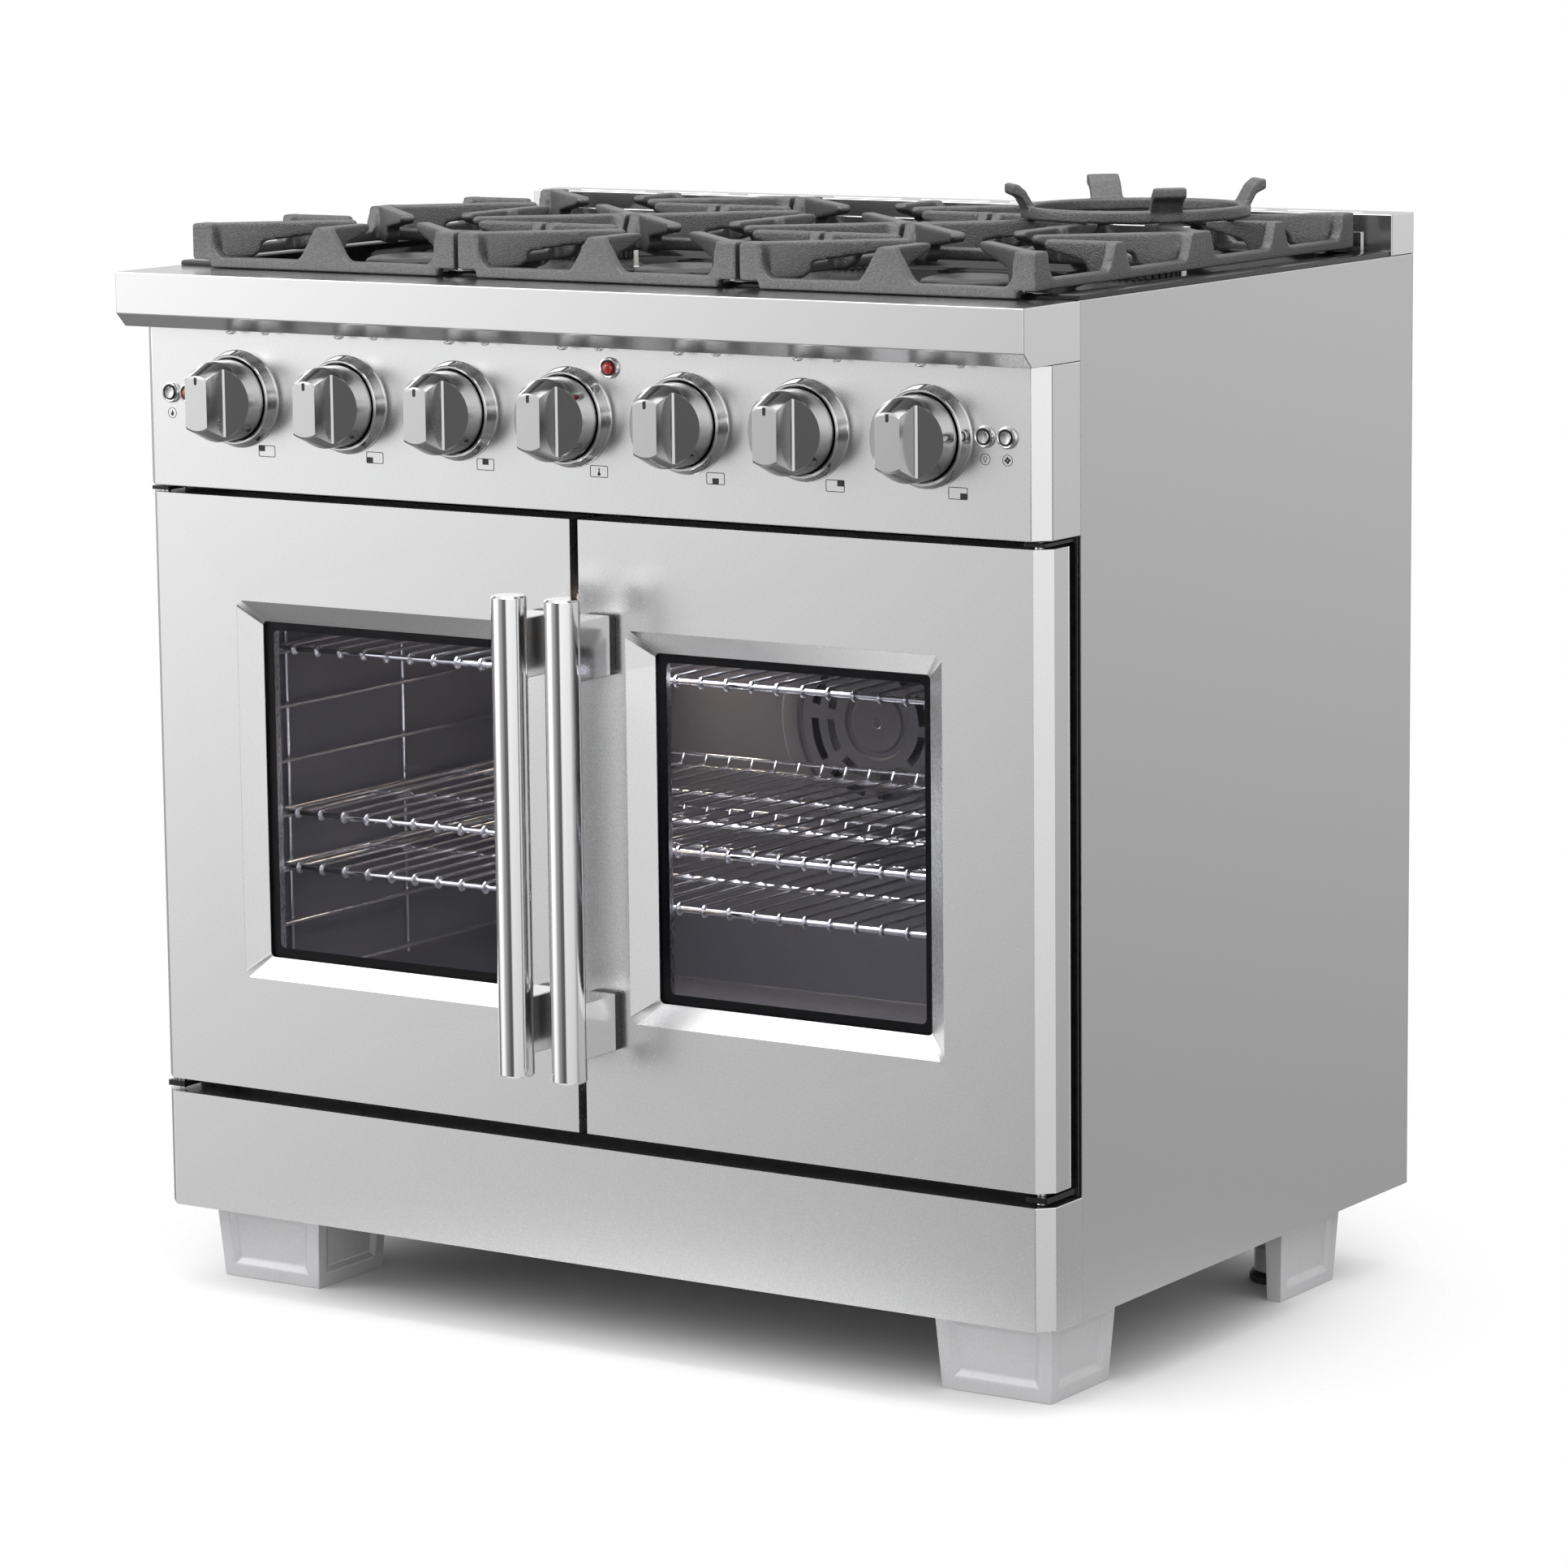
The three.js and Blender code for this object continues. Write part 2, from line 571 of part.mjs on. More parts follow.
for (const [word, side] of Object.entries(SIDES)) {
  add(`side_panel_${word}`, sidePanel(side), 'steel');
  add(`foot_front_${word}`, frontFoot(side), 'footGrey');
  add(`foot_rear_${word}`, rearFoot(side), 'footGrey');
  add(`leg_rear_${word}`, rearLeg(side), 'galvanised');
  add(`rack_guide_${word}`, rackGuide(side), 'chrome');
  door(side);
}
add('rear_panel', rearPanel(), 'galvanised');
add('base_pan', basePan(), 'galvanised');
add('front_frame', frontFrame(), 'enamel');
add('kick_panel', frontShell(0, [BODY_Z, KICK_TOP]), 'steel');
add('control_panel', controlPanel(), 'steel');
add('front_rail', frontRail(), 'steel');
add('cooktop_pan', cooktopPan(), 'enamel');
add('backguard', backguard(), 'steel');
add('flue_vent_trim', flueVentTrim(), 'steel');
add('gas_manifold', gasManifold(), 'galvanised');
add('oven_liner', ovenLiner(), 'liner');
add('fan_cover', fanCover(), 'liner');
add('convection_fan', convectionFan(), 'galvanised');
add('bake_burner', bakeBurner(), 'galvanised');
add('broil_burner', broilBurner(), 'galvanised');
for (const [name, z] of Object.entries(RACK_Z)) add(name, rack(z), 'chrome');
for (const [name, x, y] of burnerPlaces) add(name, burner(x, y), 'enamel');
add('grate_left', grate(-BURNER_X), 'castIron');
add('grate_center', grate(0), 'castIron');
add('grate_right', grate(BURNER_X), 'castIron');
add('wok_ring', wokRing(BURNER_X, BURNER_Y.rear), 'castIron');
KNOB_NAMES.forEach((name, i) => {
  add(name, knob().translate([(i - 3) * KNOB_PITCH, 0, KNOB_Z]), 'polished');
});
for (const [name, [x, z]] of Object.entries(BUTTONS)) {
  add(name, button().translate([x, 0, z]), 'polished');
}
for (const [name, [x, z]] of Object.entries(LAMPS)) {
  add(name, lamp().translate([x, 0, z]), 'lamp');
}

const range = new THREE.Group();
range.name = 'gas_range';
range.add(model);

export default range;
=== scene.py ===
import math

import bmesh
import bpy
from mathutils import Matrix, Vector


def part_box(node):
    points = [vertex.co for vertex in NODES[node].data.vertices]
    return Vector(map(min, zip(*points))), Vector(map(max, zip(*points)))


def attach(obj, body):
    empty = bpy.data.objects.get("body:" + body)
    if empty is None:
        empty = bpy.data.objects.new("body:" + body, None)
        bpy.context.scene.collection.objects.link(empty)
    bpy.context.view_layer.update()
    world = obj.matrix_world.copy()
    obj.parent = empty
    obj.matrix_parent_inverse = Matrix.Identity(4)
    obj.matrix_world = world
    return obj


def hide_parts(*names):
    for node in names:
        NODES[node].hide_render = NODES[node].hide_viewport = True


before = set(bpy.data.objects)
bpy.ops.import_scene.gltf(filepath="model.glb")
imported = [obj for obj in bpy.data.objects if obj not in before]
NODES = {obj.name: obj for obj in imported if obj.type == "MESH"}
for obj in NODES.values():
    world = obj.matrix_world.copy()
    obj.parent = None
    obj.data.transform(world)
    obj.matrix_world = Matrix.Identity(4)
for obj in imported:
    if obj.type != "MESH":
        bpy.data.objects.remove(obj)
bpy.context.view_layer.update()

# The looks of a freestanding 36-inch gas range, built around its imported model.
# Shapes are given in millimetres as (x, d, z): d is the depth behind the door faces.

MM = 0.001
DOOR_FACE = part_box("door_left_skin")[0].y
SIDES = {"left": -1, "right": 1}


def span_of(node):
    """A node's extent in millimetres along x, d and z."""
    low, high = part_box(node)
    shift = Vector((0, DOOR_FACE, 0))
    return list(zip((low - shift) / MM, (high - shift) / MM))


def spot(x, d, z):
    """A place in metres, in the shared frame."""
    return Vector((x * MM, DOOR_FACE + d * MM, z * MM))


def middle(pair):
    return (pair[0] + pair[1]) / 2


# Driving sizes, read from the frame ----

HALF = span_of("side_panel_right")[0][1]
DOOR_Z = span_of("door_right_skin")[2]
DOOR_GAP = span_of("door_right_skin")[0][0]
DOOR_DEPTH = span_of("door_right_skin")[1][1]
CORNER = 12.3
PANEL = span_of("control_panel")
PANEL_FACE = -2.4
JOINT = PANEL[1][1]
RAIL = span_of("front_rail")
PAN = span_of("cooktop_pan")
GRATE = span_of("grate_center")
LINER = span_of("oven_liner")
KNOBS = ["knob_rear_left", "knob_front_left", "knob_rear_center", "knob_oven",
         "knob_front_center", "knob_rear_right", "knob_front_right"]
BUTTONS = ["button_ignition", "button_light", "button_fan"]
LAMPS = ["indicator_lamp_left", "indicator_lamp_oven"]
RACKS = ["rack_top", "rack_middle", "rack_bottom"]
COLUMNS = ("left", "center", "right")
BURNERS = [f"burner_{row}_{column}" for row in ("front", "rear") for column in COLUMNS]


# Mesh building ----

PLACING = {
    "x": lambda u, v, w: (w, u, v),
    "y": lambda u, v, w: (u, w, v),
    "z": lambda u, v, w: (u, v, w),
}


def bridge(bm, a, b):
    """Faces between two rings of corners; a ring of one corner is a point."""
    count = max(len(a), len(b))
    for i in range(count):
        corners = []
        for ring, step in ((a, i), (a, i + 1), (b, i + 1), (b, i)):
            corner = ring[step % len(ring)]
            if corner not in corners:
                corners.append(corner)
        if len(corners) > 2:
            bm.faces.new(corners)


def add_loft(bm, rings, caps=True, closed=False):
    """A skin over rings of points that all have as many points; closed joins the last to the first."""
    made = [[bm.verts.new(p) for p in ring] for ring in rings]
    for a, b in zip(made, made[1:]):
        bridge(bm, a, b)
    if closed:
        bridge(bm, made[-1], made[0])
    elif caps:
        for ring in (made[0], made[-1]):
            if len(ring) > 2:
                bm.faces.new(ring)
    return made


def add_prism(bm, axis, outline, low, high):
    place = PLACING[axis]
    add_loft(bm, [[place(u, v, w) for u, v in outline] for w in (low, high)])


def add_box(bm, x, d, z):
    add_prism(bm, "z", [(x[0], d[0]), (x[1], d[0]), (x[1], d[1]), (x[0], d[1])], z[0], z[1])


def add_lathe(bm, axis, profile, centre=(0, 0, 0), segments=48, closed=False):
    """Turns (radius, distance along the axis) round an axis through the centre."""
    place = PLACING[axis]
    rings = []
    for r, h in profile:
        turns = range(segments) if r > 1e-6 else range(1)
        angles = [2 * math.pi * i / segments for i in turns]
        rings.append([Vector(place(r * math.cos(a), r * math.sin(a), h)) + Vector(centre) for a in angles])
    add_loft(bm, rings, closed=closed)


def add_tube(bm, points, radius, sides=10, closed=False):
    """A round wire along points, mitred at its bends."""
    path = [Vector(p) for p in points]
    count = len(path)
    rings = []
    side = None
    for i, p in enumerate(path):
        before = path[i - 1] if closed or i > 0 else None
        after = path[(i + 1) % count] if closed or i < count - 1 else None
        came = (p - before).normalized() if before is not None else (after - p).normalized()
        goes = (after - p).normalized() if after is not None else came
        along = (came + goes).normalized()
        if side is None:
            side = along.orthogonal().normalized()
        side = (side - along * side.dot(along)).normalized()
        up = along.cross(side)
        stretch = 1 / max(0.5, along.dot(goes))
        bend = (goes - came)
        bend = bend.normalized() if bend.length > 1e-6 else None
        ring = []
        for k in range(sides):
            angle = 2 * math.pi * k / sides
            out = (side * math.cos(angle) + up * math.sin(angle)) * radius
            if bend is not None:
                out += bend * out.dot(bend) * (stretch - 1)
            ring.append(p + out)
        rings.append(ring)
    add_loft(bm, rings, closed=closed)


def arc(centre, radius, start, end, steps):
    """Points on a circle, from one angle to another in degrees."""
    angles = [math.radians(start + (end - start) * i / steps) for i in range(steps + 1)]
    return [(centre[0] + radius * math.cos(a), centre[1] + radius * math.sin(a)) for a in angles]


def rounded(points, radii, steps=4):
    """The outline with an arc at each corner: radii is one number, or one for each corner."""
    outline = []
    for i, point in enumerate(points):
        radius = radii[i] if isinstance(radii, (list, tuple)) else radii
        p, a, b = Vector(point), Vector(points[i - 1]), Vector(points[(i + 1) % len(points)])
        if radius == 0:
            outline.append(tuple(p))
            continue
        to_a, to_b = (a - p).normalized(), (b - p).normalized()
        half = to_a.angle(to_b) / 2
        reach = radius / math.tan(half)
        centre = p + (to_a + to_b).normalized() * radius / math.sin(half)
        start, end = p + to_a * reach, p + to_b * reach
        for k in range(steps + 1):
            outline.append(tuple(centre + (start.lerp(end, k / steps) - centre).normalized() * radius))
    return outline


def rectangle(x, z, radius=0.0, steps=4):
    """A rectangle from its low left corner, with round corners where a radius is given."""
    return rounded([(x[0], z[0]), (x[1], z[0]), (x[1], z[1]), (x[0], z[1])], radius, steps)


def grown(pair, by):
    return (pair[0] - by, pair[1] + by)


def add_part(bm, part):
    """Moves a build of its own, already in its place, into a larger one."""
    passing = bpy.data.meshes.new("passing")
    part.to_mesh(passing)
    bm.from_mesh(passing)
    part.free()
    bpy.data.meshes.remove(passing)


def mesh_from(name, bm, smooth=30):
    """Closes the build: millimetres to metres, faces out, and edges over the angle left sharp."""
    bmesh.ops.recalc_face_normals(bm, faces=bm.faces[:])
    bm.transform(Matrix.Scale(MM, 4))
    for face in bm.faces:
        face.smooth = True
    for edge in bm.edges:
        edge.smooth = edge.is_manifold and edge.calc_face_angle(0) < math.radians(smooth)
    mesh = bpy.data.meshes.new(name)
    bm.to_mesh(mesh)
    bm.free()
    return mesh


def linked(name, data):
    """A new object in the scene."""
    made = bpy.data.objects.new(name, data)
    bpy.context.scene.collection.objects.link(made)
    return made


def place(name, mesh, material, body="root", slot=None, replaces=(), at=(0, 0, 0)):
    """Puts a mesh in the scene as a piece that rides on a body."""
    piece = linked(name, mesh)
    piece.location = spot(*at)
    if not mesh.materials:
        mesh.materials.append(material)
    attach(piece, body)
    if replaces:
        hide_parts(*replaces)
    return piece


def make(name, bm, material, smooth=30, **rest):
    return place(name, mesh_from(name, bm, smooth), material, **rest)


def bevel(piece, width, segments=2, angle=30):
    modifier = piece.modifiers.new("edges", "BEVEL")
    modifier.width = width * MM
    modifier.segments = segments
    modifier.limit_method = "ANGLE"
    modifier.angle_limit = math.radians(angle)
    flat = piece.modifiers.new("flat_faces", "WEIGHTED_NORMAL")
    flat.weight = 100
    flat.keep_sharp = True
    return piece


def thicken(piece, thickness):
    """Gives a single skin its sheet thickness, inwards."""
    modifier = piece.modifiers.new("sheet", "SOLIDIFY")
    modifier.thickness = thickness * MM
    modifier.use_even_offset = True
    return piece


def settled(mesh, *steps):
    """The mesh after modifiers, each (type, settings), worked out on a passing object."""
    passing = linked("passing", mesh)
    for kind, settings in steps:
        modifier = passing.modifiers.new(kind, kind)
        for key, value in settings.items():
            setattr(modifier, key, value)
    evaluated = passing.evaluated_get(bpy.context.evaluated_depsgraph_get())
    result = bpy.data.meshes.new_from_object(evaluated)
    result.name = mesh.name
    bpy.data.objects.remove(passing)
    return result


def minus(mesh, tool):
    """One mesh with another cut away."""
    cutter = linked("cutter", tool)
    left = settled(mesh, ("BOOLEAN", {"object": cutter, "operation": "DIFFERENCE", "solver": "EXACT"}))
    bpy.data.objects.remove(cutter)
    return left


def cast(mesh, voxel, rounds, keep):
    """Fuses overlapping solids into one cast body with soft edges."""
    fused = settled(
        mesh,
        ("REMESH", {"mode": "VOXEL", "voxel_size": voxel * MM}),
        ("SMOOTH", {"factor": 0.5, "iterations": rounds}),
        ("DECIMATE", {"ratio": keep}),
    )
    for polygon in fused.polygons:
        polygon.use_smooth = True
    return fused


# Materials ----

def shader(name, color, metallic, roughness, **sockets):
    """A Principled material and the helpers to wire it."""
    made = bpy.data.materials.new(name)
    made.use_nodes = True
    tree = made.node_tree
    bsdf = tree.nodes["Principled BSDF"]
    bsdf.inputs["Base Color"].default_value = (*color, 1)
    bsdf.inputs["Metallic"].default_value = metallic
    bsdf.inputs["Roughness"].default_value = roughness
    for socket, value in sockets.items():
        bsdf.inputs[socket.replace("_", " ")].default_value = value
    return made, tree, bsdf


def noise(tree, scale, detail=2.0, stretch=(1, 1, 1), roughness=0.5):
    """A noise texture in the object's own space; stretch sets its scale along each axis."""
    coordinates = tree.nodes.new("ShaderNodeTexCoord")
    mapping = tree.nodes.new("ShaderNodeMapping")
    mapping.inputs["Scale"].default_value = stretch
    texture = tree.nodes.new("ShaderNodeTexNoise")
    texture.inputs["Scale"].default_value = scale
    texture.inputs["Detail"].default_value = detail
    texture.inputs["Roughness"].default_value = roughness
    tree.links.new(coordinates.outputs["Object"], mapping.inputs["Vector"])
    tree.links.new(mapping.outputs["Vector"], texture.inputs["Vector"])
    return texture.outputs["Fac"]


def remap(tree, value, start, end, low=0.0, high=1.0):
    """Carries a value from one range to another."""
    node = tree.nodes.new("ShaderNodeMapRange")
    limits = {"From Min": start, "From Max": end, "To Min": low, "To Max": high}
    for socket, number in limits.items():
        node.inputs[socket].default_value = number
    tree.links.new(value, node.inputs["Value"])
    return node


def vary_roughness(tree, bsdf, field, low, high):
    spread = remap(tree, field, 0.3, 0.7, low, high)
    tree.links.new(spread.outputs["Result"], bsdf.inputs["Roughness"])


def vary_color(tree, bsdf, field, low, high):
    blend = tree.nodes.new("ShaderNodeValToRGB")
    blend.color_ramp.elements[0].position = 0.32
    blend.color_ramp.elements[1].position = 0.68
    blend.color_ramp.elements[0].color = (*low, 1)
    blend.color_ramp.elements[1].color = (*high, 1)
    tree.links.new(field, blend.inputs["Fac"])
    tree.links.new(blend.outputs["Color"], bsdf.inputs["Base Color"])


def bump(tree, bsdf, field, strength, height):
    relief = tree.nodes.new("ShaderNodeBump")
    relief.inputs["Strength"].default_value = strength
    relief.inputs["Distance"].default_value = height * MM
    tree.links.new(field, relief.inputs["Height"])
    tree.links.new(relief.outputs["Normal"], bsdf.inputs["Normal"])


def steel(name, stretch, tone=0.66, roughness=(0.25, 0.29), relief=0.003):
    """Stainless sheet with a brushed grain: short scale across the grain, long along it."""
    made, tree, bsdf = shader(name, (tone, tone, tone), 1.0, roughness[0])
    fine = noise(tree, 1.0, 3.0, stretch)
    vary_roughness(tree, bsdf, fine, *roughness)
    bump(tree, bsdf, fine, relief, 0.05)
    low = (tone * 0.98, tone * 0.98, tone * 0.985)
    high = (tone * 1.01, tone * 1.01, tone * 1.015)
    vary_color(tree, bsdf, noise(tree, 1.0, 4.0, [s * 0.6 for s in stretch], 0.6), low, high)
    return made


def plain(name, low, high, metallic, roughness, scale, relief, height, **sockets):
    """A finish without a grain: mottled colour, uneven gloss and a fine relief."""
    made, tree, bsdf = shader(name, low, metallic, roughness[0], **sockets)
    field = noise(tree, scale, 4.0)
    vary_color(tree, bsdf, noise(tree, scale * 0.5, 4.0), low, high)
    vary_roughness(tree, bsdf, noise(tree, scale * 0.3, 2.0), *roughness)
    bump(tree, bsdf, field, relief, height)
    return made


UPRIGHT = (3800, 3800, 260)
LEVEL = (260, 3800, 3800)
STEEL_DOOR = steel("steel_upright_grain", UPRIGHT)
STEEL_SIDE = steel("steel_side_grain", (3800, 3000, 700), tone=0.62, roughness=(0.34, 0.44), relief=0.03)
STEEL_RAIL = steel("steel_level_grain", LEVEL, roughness=(0.16, 0.21), relief=0.004)
# Turned steel whose tone, 0.5 against 0.66 for the sheet, is painted shade: it darkens the knobs, their
# bezels and the button caps.
STEEL_TURNED_PAINTED_SHADE = steel("steel_turned_painted_shade", (1500, 60, 1500), tone=0.5, roughness=(0.1, 0.16), relief=0.02)
STEEL_POLISHED = steel("steel_polished", (3600, 3600, 24), tone=0.72, roughness=(0.1, 0.17), relief=0.03)
CAST_IRON = plain("cast_iron", (0.115, 0.115, 0.116), (0.155, 0.155, 0.157), 0.75, (0.3, 0.42),
                  900, 1.0, 0.7)
ENAMEL = plain("black_porcelain", (0.006, 0.006, 0.007), (0.011, 0.011, 0.012), 0.0, (0.08, 0.14),
               260, 0.03, 0.1, Specular_IOR_Level=0.3)
CAP_ENAMEL = plain("cap_enamel", (0.012, 0.012, 0.013), (0.022, 0.022, 0.023), 0.0, (0.28, 0.4),
                   500, 0.08, 0.1)
BURNER_METAL = plain("burner_casting", (0.06, 0.06, 0.062), (0.11, 0.11, 0.112), 0.6, (0.4, 0.55),
                     800, 0.2, 0.1)
ZINC = plain("galvanised_sheet", (0.48, 0.49, 0.5), (0.56, 0.57, 0.58), 1.0, (0.36, 0.48), 220, 0.02, 0.1)
FOOT_PAINT = plain("foot_paint", (0.5, 0.5, 0.51), (0.54, 0.54, 0.55), 0.3, (0.32, 0.42),
                   900, 0.12, 0.1)
OVEN_ENAMEL = plain("oven_porcelain", (0.11, 0.109, 0.122), (0.13, 0.129, 0.143), 0.0, (0.3, 0.4),
                    700, 0.01, 0.05)
CHROME = plain("chrome_wire", (0.82, 0.82, 0.83), (0.9, 0.9, 0.91), 1.0, (0.05, 0.12), 300, 0.02, 0.05)
RUBBER = plain("black_rubber", (0.01, 0.01, 0.01), (0.018, 0.018, 0.018), 0.0, (0.5, 0.65), 900, 0.2, 0.1)
GASKET = plain("woven_gasket", (0.09, 0.09, 0.09), (0.2, 0.2, 0.19), 0.0, (0.7, 0.85), 1400, 0.6, 0.5)
CERAMIC = plain("white_ceramic", (0.72, 0.7, 0.66), (0.8, 0.79, 0.76), 0.0, (0.25, 0.35), 600, 0.05, 0.05)
INK = plain("black_ink", (0.006, 0.006, 0.006), (0.012, 0.012, 0.012), 0.0, (0.3, 0.42), 900, 0.05, 0.03)
LENS = plain("red_lens", (0.3, 0.008, 0.008), (0.42, 0.015, 0.012), 0.0, (0.08, 0.16), 500, 0.03, 0.05,
             Coat_Weight=0.5)
FRIT = plain("ceramic_frit", (0.004, 0.004, 0.005), (0.007, 0.007, 0.008), 0.0, (0.1, 0.16),
             700, 0.02, 0.03, Specular_IOR_Level=0.08)


def glass_material():
    """Clear smoked glass with a faint unevenness in its polish."""
    made, tree, bsdf = shader("smoked_glass", (0.87, 0.87, 0.9), 0.0, 0.01,
                              Transmission_Weight=1.0, IOR=1.12)
    vary_roughness(tree, bsdf, noise(tree, 40, 2.0), 0.0, 0.02)
    vary_color(tree, bsdf, noise(tree, 6, 2.0), (0.86, 0.86, 0.89), (0.89, 0.89, 0.915))
    return made


GLASS = glass_material()


# Camera, studio and floor ----

CAMERA_ANGLES = (33.296, 9.206, -0.608)
CAMERA_PLACE = (2.7986, -4.2320, 1.2717)
CAMERA_LENS = 134.306
CAMERA_SHIFT = (0.00274, -0.00104)


def camera():
    """The photograph's view: azimuth, elevation and roll in degrees, and a place in metres."""
    azimuth, elevation, roll = (math.radians(a) for a in CAMERA_ANGLES)
    back = Vector((math.sin(azimuth) * math.cos(elevation), -math.cos(azimuth) * math.cos(elevation),
                   math.sin(elevation)))
    right = Vector((0, 0, 1)).cross(back).normalized()
    up = back.cross(right)
    tilted_right = right * math.cos(roll) + up * math.sin(roll)
    tilted_up = up * math.cos(roll) - right * math.sin(roll)
    data = bpy.data.cameras.new("camera")
    data.lens = CAMERA_LENS
    data.shift_x, data.shift_y = CAMERA_SHIFT
    view = linked("camera", data)
    turn = Matrix((tilted_right, tilted_up, back)).transposed().to_4x4()
    view.matrix_world = Matrix.Translation(CAMERA_PLACE) @ turn
    bpy.context.scene.camera = view


# Brightness round the studio: degrees from straight in front, towards the right.
STUDIO = [(-180, 0.6), (-150, 0.7), (-122, 0.75), (-106, 0.2), (-92, 0.2), (-78, 1.3), (-66, 2.6),
          (-47, 2.25), (-30, 0.82), (-14, 0.55), (-2, 0.24), (14, 0.16), (20, 1.7), (78, 1.5),
          (98, 0.6), (106, 0.22), (124, 0.25), (138, 0.95), (156, 0.95)]


def studio():
    """Soft white surroundings with a few upright dark and bright panels, for the metal to mirror."""
    world = bpy.data.worlds.new("studio")
    bpy.context.scene.world = world
    world.use_nodes = True
    tree = world.node_tree
    link = tree.links.new
    output = tree.nodes["World Output"]
    around = tree.nodes["Background"]
    seen = tree.nodes.new("ShaderNodeBackground")
    seen.inputs["Color"].default_value = (1, 1, 1, 1)
    direction = tree.nodes.new("ShaderNodeTexCoord")
    axes = tree.nodes.new("ShaderNodeSeparateXYZ")
    link(direction.outputs["Generated"], axes.inputs["Vector"])

    def step(operation, a, b=None):
        node = tree.nodes.new("ShaderNodeMath")
        node.operation = operation
        for socket, value in zip(node.inputs, (a, b)):
            if isinstance(value, bpy.types.NodeSocket):
                link(value, socket)
            elif value is not None:
                socket.default_value = value
        return node.outputs[0]

    ahead = step("MULTIPLY", axes.outputs["Y"], -1)
    turn = step("ARCTAN2", axes.outputs["X"], ahead)
    share = step("MULTIPLY_ADD", turn, 1 / (2 * math.pi))
    share.node.inputs[2].default_value = 0.5
    ramp = tree.nodes.new("ShaderNodeValToRGB")
    stops = ramp.color_ramp.elements
    brightest = max(value for _, value in STUDIO)
    for index, (degrees, value) in enumerate(STUDIO):
        stop = stops[index] if index < 2 else stops.new(1.0)
        stop.position = degrees / 360 + 0.5
        stop.color = (*[value / brightest] * 3, 1)
    link(share, ramp.inputs["Fac"])
    upward = step("ABSOLUTE", axes.outputs["Z"])
    high = remap(tree, upward, 0.35, 0.8)
    blend = tree.nodes.new("ShaderNodeMix")
    blend.data_type = "RGBA"
    link(high.outputs["Result"], blend.inputs["Factor"])
    link(ramp.outputs["Color"], blend.inputs["A"])
    blend.inputs["B"].default_value = (*[1.0 / brightest] * 3, 1)
    near_level = remap(tree, axes.outputs["Z"], -0.3, 0.0, 0.3, 1.1)
    shade = tree.nodes.new("ShaderNodeVectorMath")
    shade.operation = "SCALE"
    link(blend.outputs["Result"], shade.inputs[0])
    link(near_level.outputs["Result"], shade.inputs["Scale"])
    link(shade.outputs["Vector"], around.inputs["Color"])
    around.inputs["Strength"].default_value = brightest
    rays = tree.nodes.new("ShaderNodeLightPath")
    either = tree.nodes.new("ShaderNodeMixShader")
    link(rays.outputs["Is Camera Ray"], either.inputs["Fac"])
    link(around.outputs["Background"], either.inputs[1])
    link(seen.outputs["Background"], either.inputs[2])
    link(either.outputs["Shader"], output.inputs["Surface"])


def area_light(name, place_at, aim, size, power, color=(1, 1, 1), spread=180):
    data = bpy.data.lights.new(name, "AREA")
    data.spread = math.radians(spread)
    data.size = size
    data.energy = power
    data.color = color
    lamp = linked(name, data)
    lamp.location = place_at
    lamp.rotation_euler = (Vector(aim) - Vector(place_at)).to_track_quat("-Z", "Y").to_euler()


FLOOR_RADIUS = 0.75
FLOOR_FADE = (0.42, 0.7)


def floor():
    """A white paper disc that fades out before its edge."""
    bm = bmesh.new()
    bmesh.ops.create_circle(bm, cap_ends=True, radius=FLOOR_RADIUS, segments=128)
    mesh = bpy.data.meshes.new("floor")
    bm.to_mesh(mesh)
    bm.free()
    disc = linked("floor", mesh)
    paper = plain("floor_paper", (0.88, 0.88, 0.88), (0.9, 0.9, 0.9), 0.0, (0.8, 0.9), 3, 0.0, 0.1)
    tree = paper.node_tree
    spread = tree.nodes.new("ShaderNodeTexCoord")
    reach = tree.nodes.new("ShaderNodeVectorMath")
    reach.operation = "LENGTH"
    tree.links.new(spread.outputs["Object"], reach.inputs[0])
    fade = remap(tree, reach.outputs["Value"], *FLOOR_FADE, 1.0, 0.0)
    fade.interpolation_type = "SMOOTHSTEP"
    tree.links.new(fade.outputs["Result"], tree.nodes["Principled BSDF"].inputs["Alpha"])
    mesh.materials.append(paper)


# Body shell ----

SHEET = 1.5


def dress(node, material, width=None, segments=2):
    """A CAD node kept as it is, with its finish and softened edges."""
    kept = NODES[node]
    if not kept.material_slots:
        kept.data.materials.append(material)
    for held in kept.material_slots:
        held.material = material
    if width:
        weld = kept.modifiers.new("weld", "WELD")
        weld.merge_threshold = 0.00001
        bevel(kept, width, segments)


def shell():
    for side in SIDES:
        dress(f"side_panel_{side}", STEEL_SIDE, 0.6)
        dress(f"door_{side}_liner", STEEL_DOOR, 0.4, 1)
        dress(f"door_{side}_inner_glass", GLASS)
    dress("rear_panel", ZINC, 0.3, 1)
    dress("base_pan", ENAMEL, 0.4, 1)
    dress("front_frame", ENAMEL, 0.8)
    dress("kick_panel", STEEL_DOOR, 0.7)
    dress("front_rail", STEEL_RAIL, 0.7)
    dress("backguard", STEEL_RAIL, 0.7)
    dress("flue_vent_trim", STEEL_RAIL, 0.5)
    dress("gas_manifold", ZINC)
    dress("oven_liner", OVEN_ENAMEL, 0.6, 1)
    dress("convection_fan", ZINC, 0.3, 1)
    dress("bake_burner", ZINC)
    dress("broil_burner", ZINC, 0.5, 1)


